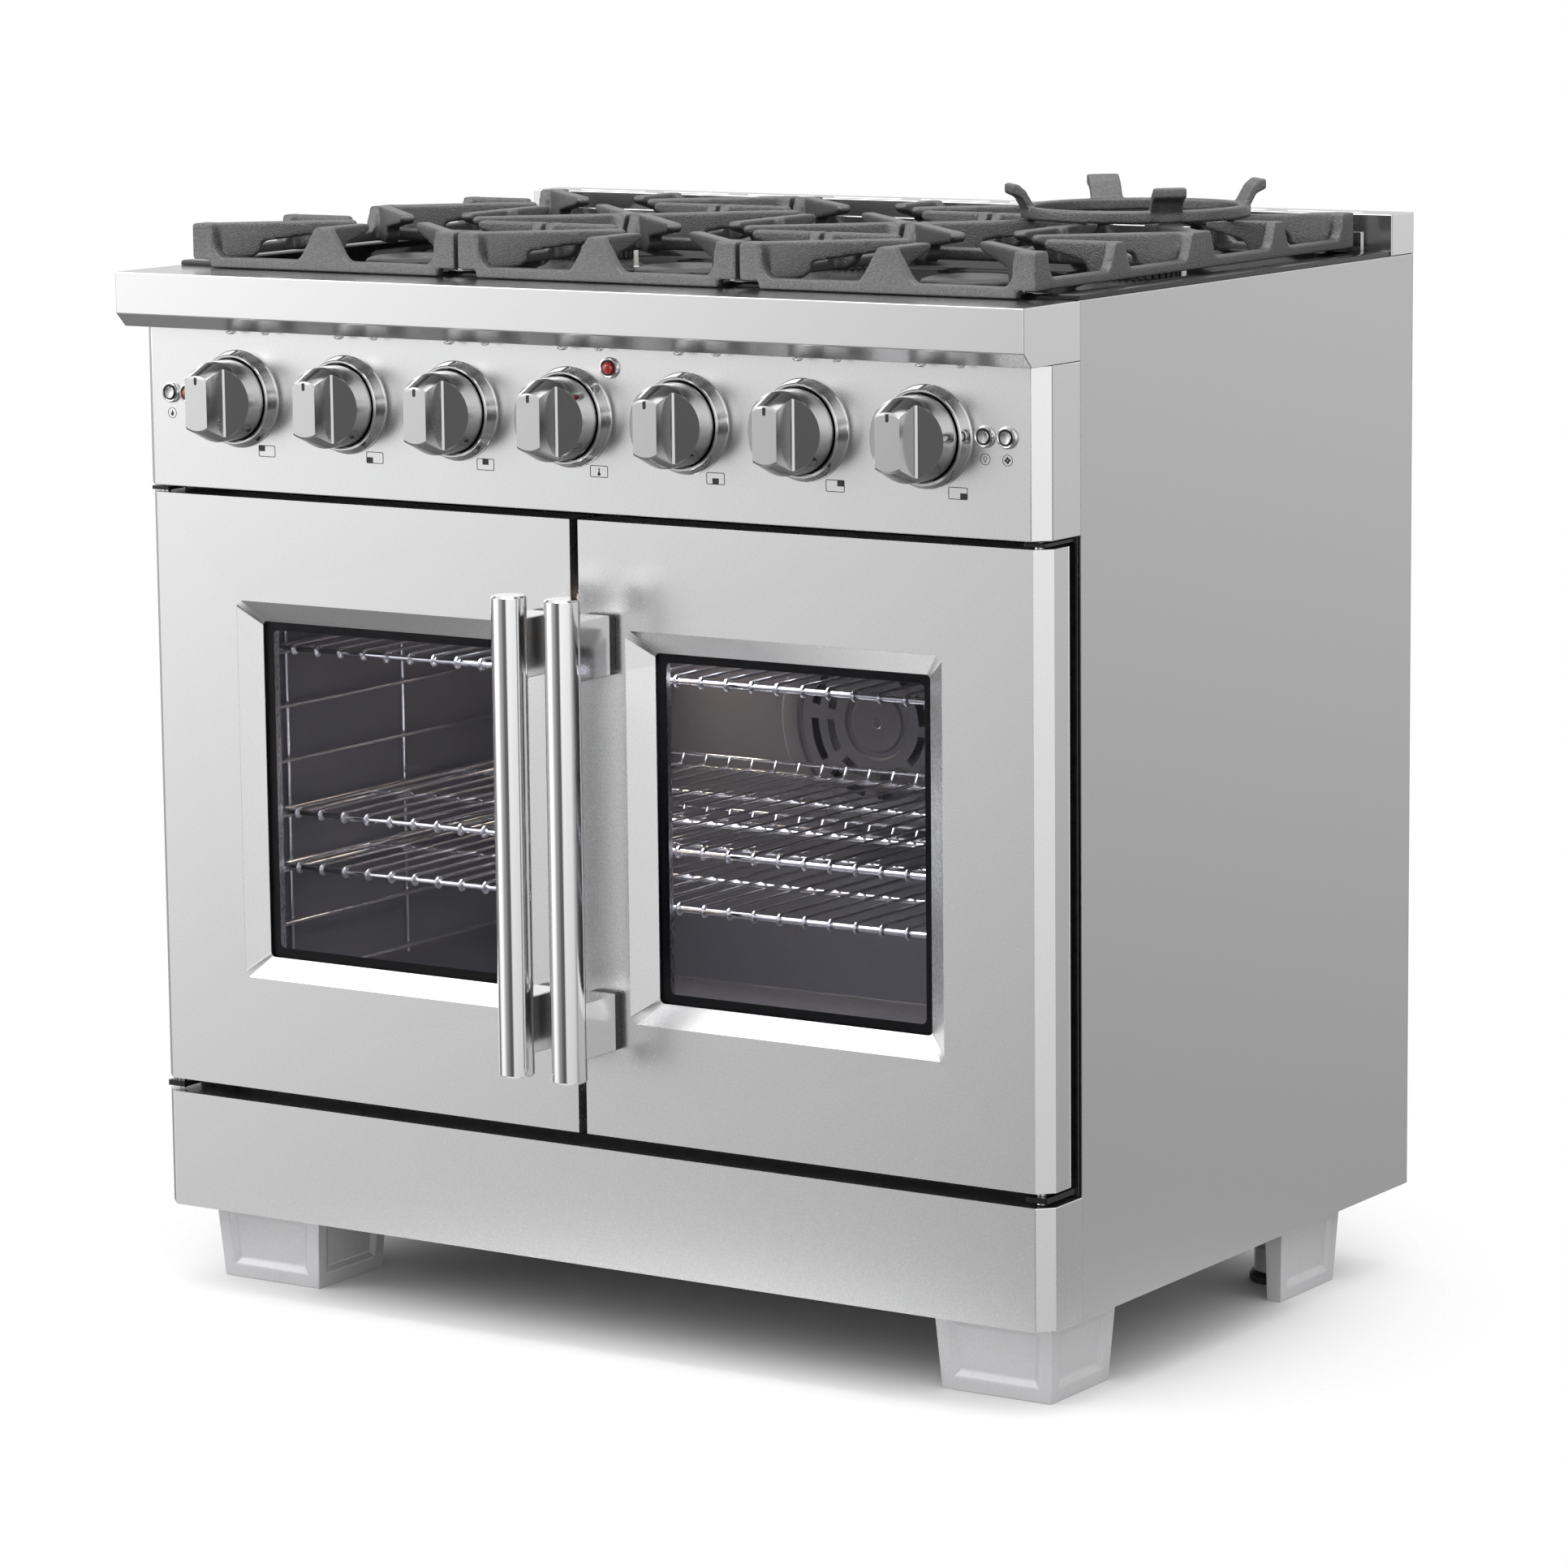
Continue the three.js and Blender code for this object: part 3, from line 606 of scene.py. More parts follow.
def add_open_box(bm, outline, low, high, front=None, hole=None):
    """A folded sheet: an outline in plan, open between its last and first points, with a floor and a lid.
    hole is a ring of corners with equal arcs, and it pierces the wall that starts at point number front."""
    bottom = [bm.verts.new((x, d, low)) for x, d in outline]
    top = [bm.verts.new((x, d, high)) for x, d in outline]
    bm.faces.new(bottom)
    bm.faces.new(top)
    for i in range(len(outline) - 1):
        wall = [bottom[i], bottom[i + 1], top[i + 1], top[i]]
        if i != front:
            bm.faces.new(wall)
            continue
        arc_points = len(hole) // 4
        half = arc_points // 2
        for k in range(4):
            first, following = k * arc_points, ((k + 1) % 4) * arc_points
            inner = hole[first + half:first + arc_points] + hole[following:following + half + 1]
            bm.faces.new([wall[k], wall[(k + 1) % 4], *reversed(inner)])


def mirrored(bm, side):
    """Turns a shape drawn for the right-hand side into the one for that side."""
    bmesh.ops.scale(bm, vec=(side, 1, 1), verts=bm.verts[:])
    return bm


WINDOW_OUTER = ((50.6, 359.3), (287.9, 620.6))
WINDOW_INNER = ((72.2, 340.5), (305.4, 602.1))
WINDOW_DEPTH = 13.5
HANDLE_X = 27
HANDLE_D = -56.5
HANDLE_Z = (246, 652)
BRACKETS_Z = ((265, 314), (583, 633.5))
BRACKET_HALF = 14


def door(word, side):
    """The skin with its sloping window, the pane and its black border, and the handle."""
    body = f"door_{word}"
    bm = bmesh.new()
    rings = []
    for (x, z), d, radius in (
        (WINDOW_OUTER, 0, 6), (WINDOW_INNER, WINDOW_DEPTH - 1, 4), (WINDOW_INNER, WINDOW_DEPTH + 0.2, 4),
    ):
        rings.append([(u, d, v) for u, v in rectangle(x, z, radius, 6)])
    made = add_loft(bm, rings, caps=False)
    outline = [(DOOR_GAP, DOOR_DEPTH), (DOOR_GAP, 0), (HALF - CORNER, 0), (HALF, CORNER),
               (HALF, DOOR_DEPTH)]
    add_open_box(bm, outline, *DOOR_Z, front=1, hole=made[0])
    skin = make(f"{body}_skin_sheet", mirrored(bm, side), STEEL_DOOR, body=body, slot="brushed_steel",
                replaces=[f"{body}_skin"])
    bevel(thicken(skin, SHEET), 0.9, 3)

    bm = bmesh.new()
    pane_x, _, pane_z = span_of("door_right_outer_glass")
    add_box(bm, pane_x, (13.9, 17.0), pane_z)
    pane = make(f"{body}_outer_pane", mirrored(bm, side), GLASS, body=body, slot="tinted_glass",
                replaces=[f"{body}_outer_glass"])
    bevel(pane, 0.5)

    bm = bmesh.new()
    clear_x, clear_z = grown(WINDOW_INNER[0], -8), grown(WINDOW_INNER[1], -8)
    frames = [(pane_x, pane_z, 3, 17.1), (clear_x, clear_z, 5, 17.1), (clear_x, clear_z, 5, 17.4),
              (pane_x, pane_z, 3, 17.4)]
    add_loft(bm, [[(u, d, v) for u, v in rectangle(x, z, r, 6)] for x, z, r, d in frames], closed=True)
    make(f"{body}_frit", mirrored(bm, side), FRIT, body=body, slot="black_enamel")

    bm = bmesh.new()
    low, high = HANDLE_Z
    add_lathe(bm, "z", [(0, low), (13.4, low), (15, low + 1.6), (15, high - 1.6), (13.4, high), (0, high)],
              (HANDLE_X, HANDLE_D, 0), 96)
    make(f"{body}_handle_bar", mirrored(bm, side), STEEL_POLISHED, body=body, slot="polished_steel",
         replaces=[f"{body}_handle"], smooth=25)
    bm = bmesh.new()
    bracket_x = grown((HANDLE_X, HANDLE_X), BRACKET_HALF)
    for z in BRACKETS_Z:
        add_box(bm, bracket_x, (HANDLE_D, -8), z)
    brackets = make(f"{body}_handle_brackets", mirrored(bm, side), STEEL_RAIL, body=body,
                    slot="polished_steel")
    bevel(brackets, 0.8)
    # Painted shadow: black rubber blocks fill the space between each bracket and the door, where the gap
    # round the bracket's post lies in shade.
    bm = bmesh.new()
    for z in BRACKETS_Z:
        add_prism(bm, "y", rectangle(bracket_x, z, 3), -8.1, -0.2)
    gap_shadow_blocks = make(f"{body}_handle_spacers", mirrored(bm, side), RUBBER, body=body, slot="black_enamel")
    bevel(gap_shadow_blocks, 0.4, 1)


def control_panel():
    bm = bmesh.new()
    outline = [(-HALF, JOINT), (-HALF, PANEL_FACE + CORNER), (-HALF + CORNER, PANEL_FACE),
               (HALF - CORNER, PANEL_FACE), (HALF, PANEL_FACE + CORNER), (HALF, JOINT)]
    add_open_box(bm, outline, *PANEL[2])
    sheet = make("control_panel_sheet", bm, STEEL_DOOR, slot="brushed_steel", replaces=["control_panel"])
    bevel(thicken(sheet, SHEET), 0.8, 3)


def knob_place(name):
    x, _, z = span_of(name)
    return middle(x), middle(z)


def knob_bezels():
    """The raised polished ring round each knob, with a groove inside its bright rim."""
    bm = bmesh.new()
    profile = [(0, PANEL_FACE + 0.5), (42.2, PANEL_FACE + 0.5), (42.2, -3.2), (41.6, -3.8), (38.9, -13.2),
               (38.2, -14), (36.9, -14), (36.3, -13.4), (36, -8.2), (0, -8.2)]
    for name in KNOBS:
        x, z = knob_place(name)
        add_lathe(bm, "y", profile, (x, 0, z), 128)
    make("knob_bezels", bm, STEEL_TURNED_PAINTED_SHADE, slot="brushed_steel", smooth=22)
    # Painted shade: a black rubber ring lies on each recess floor, seen only in the gap round the knob, and
    # darkens that gap.
    bm = bmesh.new()
    for name in KNOBS:
        x, z = knob_place(name)
        add_lathe(bm, "y", [(30, -8), (35.9, -8), (35.9, -8.6), (30, -8.6)], (x, 0, z), 96, closed=True)
    make("knob_gap_painted_shade", bm, RUBBER, slot="black_enamel")
    bm = bmesh.new()
    for name in KNOBS:
        x, z = knob_place(name)
        tick = [(-1, 38.9), (1, 38.9), (1.1, 41.9), (-1.1, 41.9)]
        low, high = tick[:2], tick[2:]
        rings = []
        for sink, drop in ((0, 0), (0.4, 0.6)):
            rings.append([(x + u, sink - 13.4, z + v - drop) for u, v in low]
                         + [(x + u, sink - 4.0, z + v - drop) for u, v in high])
        add_loft(bm, rings)
    make("bezel_ticks", bm, INK, slot="black_enamel")


KNOB_FRONT = -62.4
GRIP_HALF = 11.6
SHOULDER = [(34.6, -36), (34.1, -37.6)]
NOSE = (24.4, -61.2)
SKIRT_SLOPE = 0.025
MARK_RADIUS = 28


def knob_mesh():
    """A polished cone whose front half is scooped away on both sides of an upright grip bar."""
    bm = bmesh.new()
    profile = [(0, -8.6), (34.2, -8.6), (34.9, -9.3), (35.2, -14), *SHOULDER, NOSE,
               (22.6, KNOB_FRONT), (0, KNOB_FRONT)]
    add_lathe(bm, "y", profile, segments=144)
    body = mesh_from("knob_body", bm)
    corner = (GRIP_HALF + 1.8, -42)
    cheek = [(GRIP_HALF, -90), (GRIP_HALF, KNOB_FRONT), corner, (70, -20), (70, -90)]
    for side in (-1, 1):
        bm = bmesh.new()
        outline = rounded([(side * u, v) for u, v in cheek], [0, 0, 3.5, 0, 0], 8)
        add_prism(bm, "z", outline, -50, 50)
        body = minus(body, mesh_from("knob_scoop", bm))
    return settled(body, ("BEVEL", {"width": 0.55 * MM, "segments": 3, "limit_method": "ANGLE",
                                    "angle_limit": math.radians(22)}),
                   ("WEIGHTED_NORMAL", {"weight": 60, "keep_sharp": True}))


def cone_point(angle, depth, lift=0.0):
    """A point on the knob's skirt or slope: degrees clockwise from the top, and depth."""
    ledge, start = SHOULDER[1]
    slope = (ledge - NOSE[0]) / (start - NOSE[1]) if depth < start else SKIRT_SLOPE
    r = ledge + (depth - start) * slope + lift
    a = math.radians(angle)
    return (r * math.sin(a), depth - lift * slope, r * math.cos(a))


def add_cone_mark(bm, angle, width, front, rear):
    """A printed mark on the cone, from one depth to another."""
    spread = math.degrees(width / 2 / MARK_RADIUS)
    rings = []
    for lift in (0.3, -0.4):
        corners = [(-spread, front), (spread, front), (spread, rear), (-spread, rear)]
        rings.append([cone_point(angle + a, d, lift) for a, d in corners])
    add_loft(bm, rings)


def knobs():
    """The seven knobs, each with a pointer and a printed scale."""
    shared = knob_mesh()
    for name in KNOBS:
        x, z = knob_place(name)
        place(f"{name}_grip", shared, STEEL_TURNED_PAINTED_SHADE, body=name, slot="polished_steel", replaces=[name],
              at=(x, 0, z))
        bm = bmesh.new()
        add_cone_mark(bm, 0, 2.8, -60.8, -41)
        dash = rounded([(-1.5, 16.6), (1.5, 16.6), (1.5, 23.2), (-1.5, 23.2)], [1.4, 1.4, 0, 0])
        add_prism(bm, "y", dash, KNOB_FRONT - 0.15, -61.5)
        if name == "knob_oven":
            for angle in range(64, 150, 14):
                add_cone_mark(bm, angle, 1.1, -27, -25.4)
        else:
            for index, angle in enumerate(range(88, 152, 9)):
                add_cone_mark(bm, angle, 1.2 + 0.22 * index, -27 - 0.4 * index, -24.4)
        make(f"{name}_marks", bm, INK, body=name, slot="black_enamel", at=(x, 0, z))


BUTTON_RADIUS = 5.1


def small_controls():
    """Push buttons with a black collar in a chrome ring, and the two red lamps."""
    ring = [(6.6, -3), (9, -2), (9, -4.2), (8.4, -5.3), (7.6, -5.6), (6.8, -5.2), (6.6, -4.6)]
    collar = [(5.3, -2), (6.6, -2), (6.6, -4.4), (5.3, -4.4)]
    rim = BUTTON_RADIUS
    cap = [(0, 8), (rim, 8), (rim, -5.9), (4.6, -6.4), (4.2, -6.3), (0, -5.9)]
    angles = [math.radians(i * 11.25) for i in range(8)]
    dome = [(rim * math.cos(a), -5.6 - 3 * math.sin(a)) for a in angles]
    bm, collars = bmesh.new(), bmesh.new()
    for name in BUTTONS + LAMPS:
        x, z = knob_place(name)
        add_lathe(bm, "y", ring, (x, 0, z), 64, closed=True)
        add_lathe(collars, "y", collar, (x, 0, z), 48, closed=True)
    make("control_rings", bm, STEEL_POLISHED, slot="polished_steel")
    make("control_collars", collars, RUBBER, slot="black_enamel")
    for name in BUTTONS:
        x, z = knob_place(name)
        bm = bmesh.new()
        add_lathe(bm, "y", cap, (x, 0, z), 48)
        make(f"{name}_cap", bm, STEEL_TURNED_PAINTED_SHADE, body=name, slot="polished_steel", replaces=[name])
    for name in LAMPS:
        x, z = knob_place(name)
        bm = bmesh.new()
        add_lathe(bm, "y", [(0, 2), (rim, 2), *dome, (0, -8.6)], (x, 0, z), 40)
        make(f"{name}_lens", bm, LENS, slot="lamp_lens", replaces=[name])


def add_ink(bm, outline, x, z):
    add_prism(bm, "y", [(x + u, z + v) for u, v in outline], PANEL_FACE - 0.12, PANEL_FACE + 0.3)


def add_ink_ring(bm, outer, inner, x, z):
    rings = []
    for outline, d in ((outer, -0.12), (inner, -0.12), (inner, 0.3), (outer, 0.3)):
        rings.append([(x + u, PANEL_FACE + d, z + v) for u, v in outline])
    add_loft(bm, rings, closed=True)


def icons():
    """Printed marks: which burner each knob works, and what each button does."""
    bm = bmesh.new()
    for name in KNOBS:
        x, z = knob_place(name)
        x, z = x + 28.6, z - 44
        add_ink_ring(bm, rectangle((-9, 9), (-5, 5), 1.2), rectangle((-8.4, 8.4), (-4.4, 4.4), 0.7), x, z)
        if name == "knob_oven":
            add_ink(bm, rectangle((-0.55, 0.55), (-2.6, 2.9), 0.5), x, z)
            add_ink(bm, arc((0, -2.2), 1.5, 0, 342, 19), x, z)
            continue
        column = -5.2 if "left" in name else 5.2 if "right" in name else 0
        row = 2.1 if "rear" in name else -2.1
        add_ink(bm, rectangle((column - 3.1, column + 3.1), (row - 2.3, row + 2.3), 0.3), x, z)
    for name in BUTTONS:
        x, z = knob_place(name)
        z -= 18
        add_ink_ring(bm, arc((0, 0), 4.7, 0, 350, 35), arc((0, 0), 4.25, 0, 350, 35), x, z)
        if name == "button_fan":
            for turn in range(4):
                blade = [Vector(p) for p in arc((1.6, 0.2), 1.2, 0, 330, 11)]
                angle = Matrix.Rotation(turn * math.pi / 2, 2)
                add_ink(bm, [tuple(angle @ p) for p in blade], x, z)
        elif name == "button_light":
            add_ink_ring(bm, arc((0, 0.6), 1.7, 0, 340, 17), arc((0, 0.6), 1.3, 0, 340, 17), x, z)
            add_ink(bm, rectangle((-0.8, 0.8), (-2.4, -1.5), 0.2), x, z)
        else:
            flame = [(0, 2.8), (0.9, 1.2), (1.7, -0.4), (1.2, -2.0), (0, -2.6), (-1.2, -2.0),
                     (-1.6, -0.6), (-0.6, 0.6)]
            add_ink(bm, flame, x, z)
    make("panel_icons", bm, INK, slot="black_enamel")


def rail_screws():
    """Small dome-headed screws under the overhang of the rail."""
    bm = bmesh.new()
    head = [(0, 0.3), (5, 0.3), (5, -0.9), (4.2, -2.6), (2.4, -3.9), (0, -4.2)]
    for name in KNOBS:
        x, _ = knob_place(name)
        for shift, scale in ((0, 1.0), (37, 0.85)):
            profile = [(r * scale, h * scale) for r, h in head]
            add_lathe(bm, "z", profile, (x + shift, -12, RAIL[2][0]), 24)
    make("rail_screws", bm, CHROME, slot="polished_steel")


# Cooktop ----

def cooktop_pan():
    """A pressed porcelain tray: raised sides, sloping walls and a flat floor."""
    low_z, high_z = PAN[2][0], PAN[2][1]
    x_out = PAN[0][1]
    d_out = PAN[1]
    levels = [
        (x_out, d_out, RAIL[2][1] + 0.3, 1.5), (x_out, d_out, high_z - 2, 1.5),
        (x_out - 0.6, grown(d_out, -0.6), high_z - 0.5, 1.5), (x_out - 2, grown(d_out, -2), high_z, 1.5),
        (433, (63, 564), high_z, 6), (431.5, (64.5, 562.5), high_z - 0.6, 7),
        (430.5, (65.5, 561.5), high_z - 2.2, 8), (425.5, (71, 556), 885, 12),
        (424, (72.5, 554.5), 882, 13), (421.5, (75, 552), 880.4, 14), (417, (79.5, 547.5), 880, 16),
    ]
    bm = bmesh.new()
    rings = [[(u, v, z) for u, v in rectangle((-x, x), d, r, 8)] for x, d, z, r in levels]
    made = add_loft(bm, rings, caps=False)
    bm.faces.new(made[-1])
    tray = make("cooktop_tray", bm, ENAMEL, slot="black_enamel", replaces=["cooktop_pan"], smooth=40)
    thicken(tray, 1.2)
    bm = bmesh.new()
    add_box(bm, (-430, 430), (57, 586), (low_z, low_z + 2))
    bevel(make("cooktop_underside", bm, ZINC, slot="galvanised_steel"), 0.4, 1)


PAN_FLOOR = 880.4
PORTS = 40


def burner_meshes():
    """The cast head with its ring of flame ports, the enamelled cap and the spark electrode."""
    bm = bmesh.new()
    head = [(0, PAN_FLOOR), (52, PAN_FLOOR), (52, 881.6), (50.5, 882.6), (45, 884.5), (41, 888),
            (39, 891), (39, 901), (0, 901)]
    add_lathe(bm, "z", head, segments=96)
    for port in range(PORTS):
        tooth = bmesh.new()
        add_box(tooth, (38, 42), (-1.9, 1.9), (892.5, 901.8))
        tooth.transform(Matrix.Rotation(port * 2 * math.pi / PORTS, 4, "Z"))
        add_part(bm, tooth)
    head = mesh_from("burner_head", bm, 25)
    bm = bmesh.new()
    lid = [(0, 902.4), (41.5, 902.4), (43.6, 903.4), (44.3, 905.2), (43.8, 907), (42, 908.6),
           (36, 910.4), (24, 911.5), (22.5, 911.2), (21, 911.5), (0, 912.4)]
    add_lathe(bm, "z", lid, segments=96)
    cap = mesh_from("burner_cap", bm, 50)
    bm = bmesh.new()
    pin = [(0, PAN_FLOOR), (3.2, PAN_FLOOR), (3.2, 884), (2.3, 885), (2.3, 899), (1.6, 900.5),
           (0.7, 901), (0.7, 905), (0, 905.4)]
    add_lathe(bm, "z", pin, (47.5, 0, 0), 24)
    return head, cap, mesh_from("burner_electrode", bm)


def burners():
    head, cap, electrode = burner_meshes()
    for name in BURNERS:
        x, d, _ = span_of(name)
        at = (middle(x), middle(d), 0)
        place(f"{name}_head", head, BURNER_METAL, slot="black_enamel", replaces=[name], at=at)
        place(f"{name}_cap", cap, CAP_ENAMEL, slot="black_enamel", at=at)
        place(f"{name}_electrode", electrode, CERAMIC, slot="black_enamel", at=at)


BURNER_D = (middle(span_of("burner_front_center")[1]), middle(span_of("burner_rear_center")[1]))


def add_web(bm, start, end, width, profile):
    """An upright plate between two places in plan; profile is (distance from the start, z)."""
    a, b = Vector(start), Vector(end)
    along = (b - a).normalized()
    across = Vector((-along.y, along.x)) * width / 2
    rings = []
    for sign in (-1, 1):
        ring = []
        for s, z in profile:
            p = a + along * s + across * sign
            ring.append((p.x, p.y, z))
        rings.append(ring)
    add_loft(bm, rings)


def grate_mesh():
    """One grate over two burners: a low frame, posts and fingers with undercut windows, cast in one."""
    bm = bmesh.new()
    half = GRATE[0][1]
    front, back = GRATE[1]
    foot, top = GRATE[2]
    centre = (front + back) / 2
    bar, step, undercut = 914.5, 912.0, 921
    ends = [(-half + 18, foot), (half - 18, foot), (half - 18, step), (half, step), (half, top),
            (half - 20, top), (half - 24, bar), (25, bar), (7, top), (-7, top), (-25, bar),
            (-half + 24, bar), (-half + 20, top), (-half, top), (-half, step), (-half + 18, step)]
    radii = [1, 1, 3, 1.5, 1.5, 1.5, 9, 9, 1.5, 1.5, 9, 9, 1.5, 1.5, 1.5, 3]
    for low, high in ((front, front + 10), (back - 10, back)):
        add_prism(bm, "y", rounded(ends, radii), low, high)
    near, far = ((d - 7, d + 7, d - 16, d + 16) for d in BURNER_D)
    posts = [(front, front + 20, front, front + 26), near,
             (centre - 15, centre + 15, centre - 24, centre + 24), far,
             (back - 20, back, back - 26, back)]
    outline = [(front, step), (back, step)]
    corner = [1.5, 1.5]
    for top_low, top_high, low, high in reversed(posts):
        if high < back:
            outline.append((high, undercut))
            corner.append(7)
        outline += [(top_high, top), (top_low, top)]
        corner += [1.5, 1.5]
        if low > front:
            outline.append((low, undercut))
            corner.append(7)
    for side in (-1, 1):
        x = side * half
        add_prism(bm, "x", rounded(outline, corner), min(x, x - side * 10), max(x, x - side * 10))
        for burner, d in enumerate(BURNER_D):
            finger = [(0, step), (16, step), (26, 916), (31, 926), (66, 934.5), (69, 937),
                      (69, top - 1.5), (66, top), (0, top)]
            add_web(bm, (x - side, d), (0, d), 10, rounded(finger, [0, 4, 9, 9, 2, 1, 1.5, 1.5, 0], 3))
            for away in (-1, 1):
                outer = (burner == 0) == (away < 0)
                root_d = centre - away * 4
                if outer:
                    root_d = front + 8 if away < 0 else back - 8
                start = Vector((x - side * 8, root_d))
                tip = Vector((side * 36, d + away * 37))
                length = (tip - start).length
                arm = [(0, step), (length * 0.30, step), (length * 0.36, 917), (length * 0.37, 926),
                       (length - 4, 935), (length, 937), (length, top - 1.5), (length - 3, top), (0, top)]
                add_web(bm, start, tip, 12.5, rounded(arm, [0, 4, 5, 5, 1.5, 1.5, 1.5, 1.5, 0], 3))
    add_box(bm, (-half + 5, half - 5), (centre - 6, centre + 6), (step, 923))
    finger = rounded([(0, step), (16, 913), (23, 918), (26, 927), (58, 935.5), (61, 938),
                      (61, top - 1.5), (58, top), (0, top)], [0, 4, 6, 7, 1.5, 1, 1.5, 1.5, 0], 3)
    for start, away in ((front + 1, 1), (back - 1, -1), (centre, 1), (centre, -1)):
        add_web(bm, (0, start), (0, start + away * 61), 12, finger)
    spine = [(0, step), (half - 8, step), (half - 8, 926), (half - 30, 923), (30, 923), (12, 930),
             (9, top), (0, top)]
    for away in (-1, 1):
        add_web(bm, (0, centre), (away * half, centre), 12, spine)
    return cast(mesh_from("grate_casting", bm), 1.9, 3, 0.45)


def cast_iron():
    """The three grates and the ring that holds a round-bottomed pan."""
    shared = grate_mesh()
    for column in COLUMNS:
        node = f"grate_{column}"
        place(f"{node}_casting", shared, CAST_IRON, body=node, slot="cast_iron", replaces=[node],
              at=(middle(span_of(node)[0]), 0, 0))
    x, d, (seat, crest) = span_of("wok_ring")
    bm = bmesh.new()
    band = rounded([(88.8, seat), (99, seat), (99, seat + 10.6), (88.8, seat + 10.6)], 1.6)
    add_lathe(bm, "z", band, segments=96, closed=True)
    for angle in (45, 135, 225, 315):
        fin = bmesh.new()
        outline = [(89, seat + 1), (98.6, seat + 1), (99.2, seat + 9), (104.5, seat + 18.5),
                   (113, seat + 22.5), (113, crest - 0.4), (108, crest), (101, crest - 5.5),
                   (93, seat + 11.5)]
        add_prism(fin, "y", rounded(outline, [1, 1, 2, 3, 1.5, 1.5, 2, 3, 2], 3), -14, 14)
        fin.transform(Matrix.Rotation(math.radians(angle), 4, "Z"))
        add_part(bm, fin)
    ring = cast(mesh_from("wok_ring_casting", bm), 1.2, 3, 0.5)
    place("wok_ring_casting", ring, CAST_IRON, body="wok_ring", slot="cast_iron", replaces=["wok_ring"],
          at=(middle(x), middle(d), 0))


# Oven ----

WIRE = 1.7
RACK_BAR = 2.7
WIRE_PITCH = 25.4
TOP_GUIDE = 600
GUIDE_PITCH = 48.75
FAN_COVER_SEGMENTS = 96
SLOT_PITCH = 12
SLOT_OPEN = 9
OVEN_LAMP = (-250, 0, 590)


def rack_mesh():
    """A chrome rack: a frame, cross bars, and long wires that each loop down over the front bar."""
    bm = bmesh.new()
    (x0, x1), (front, back), _ = span_of("rack_top")
    front += RACK_BAR
    corner = rectangle((x0 + RACK_BAR, x1 - RACK_BAR), (front, back - RACK_BAR), 9, 5)
    add_tube(bm, [(u, v, 0) for u, v in corner], RACK_BAR, 12, closed=True)
    for d in (front + 130, front + 262):
        add_tube(bm, [(x0 + 3, d, -0.6), (x1 - 3, d, -0.6)], RACK_BAR - 0.3, 10)
    bead = [(2.4, -2.3), (4.2, -1.9), (5.0, -0.8), (5.0, 0.8), (4.2, 1.9), (2.4, 2.3)]
    lift = RACK_BAR + WIRE - 0.3
    count = int((x1 - 12) // WIRE_PITCH)
    for index in range(-count, count + 1):
        x = index * WIRE_PITCH
        hook = [(x, front + v, u) for u, v in arc((0, 0), lift, 0, -215, 9)]
        add_tube(bm, [(x, back - 5, 12.5), (x, back - 9, lift), *hook], WIRE, 8)
        add_lathe(bm, "x", bead, (x, front, 0), 16)
    rear = back - 4.5
    add_tube(bm, [(x0 + 4, rear, 0), (x0 + 4, rear, 12), (x1 - 4, rear, 12), (x1 - 4, rear, 0)], 2.0, 8)
    return mesh_from("rack_wires", bm, 50)


def racks():
    """The three racks and the wire guides that they slide on."""
    shared = rack_mesh()
    for name in RACKS:
        low = span_of(name)[2][0]
        place(f"{name}_wires", shared, CHROME, body=name, slot="chrome_wire", replaces=[name],
              at=(0, 0, low + RACK_BAR - 0.1))
    for word, side in SIDES.items():
        guide = span_of(f"rack_guide_{word}")
        bm = bmesh.new()
        outer = max(abs(v) for v in guide[0]) - 2.2
        inner = min(abs(v) for v in guide[0]) + 2.2
        for d in (98, 268, 442):
            add_tube(bm, [(outer, d, guide[2][0] + 4), (outer, d, guide[2][1] - 2)], 2.1, 10)
        level = span_of("rack_bottom")[2][0] - 100
        while level < TOP_GUIDE:
            ends = rounded([(outer - 1, 64), (inner, 70), (inner, 488), (outer - 1, 494)], [0, 4, 4, 0], 4)
            add_tube(bm, [(u, v, level) for u, v in ends], 2.0, 10)
            level += GUIDE_PITCH
        make(f"rack_guide_{word}_wires", mirrored(bm, side), CHROME, slot="chrome_wire", smooth=50,
             replaces=[f"rack_guide_{word}"])


def fan_cover():
    """A round dish with two rings of arc slots, each as wide as SLOT_OPEN of every SLOT_PITCH faces."""
    _, (front, back), (low, high) = span_of("fan_cover")
    radius = (high - low) / 2
    bm = bmesh.new()
    profile = [(radius, back), (radius, back - 1.5), (radius - 8, front + 3), (radius - 10, front + 1),
               (radius - 13, front), (86, front), (84, front + 2.2), (80, front + 2.2), (78, front),
               (70, front), (62, front), (53, front), (45, front), (34, front), (32, front + 2.2),
               (28, front + 2.2), (26, front), (6, front), (4, front + 1.2), (0, front + 1.2)]
    rings = []
    turns = [2 * math.pi * i / FAN_COVER_SEGMENTS for i in range(FAN_COVER_SEGMENTS)]
    for r, h in profile:
        angles = turns if r > 0 else turns[:1]
        rings.append([bm.verts.new((r * math.cos(a), h, r * math.sin(a))) for a in angles])
    for index, (a, b) in enumerate(zip(rings, rings[1:])):
        made = set(bm.faces)
        bridge(bm, a, b)
        if profile[index] in ((70, front), (53, front)):
            slots = [f for f in bm.faces if f not in made]
            bmesh.ops.delete(bm, geom=[f for i, f in enumerate(slots) if i % SLOT_PITCH < SLOT_OPEN],
                             context="FACES_ONLY")
    dish = make("fan_cover_dish", bm, OVEN_ENAMEL, slot="oven_enamel", replaces=["fan_cover"],
                at=(0, 0, middle((low, high))))
    thicken(dish, 1.0)


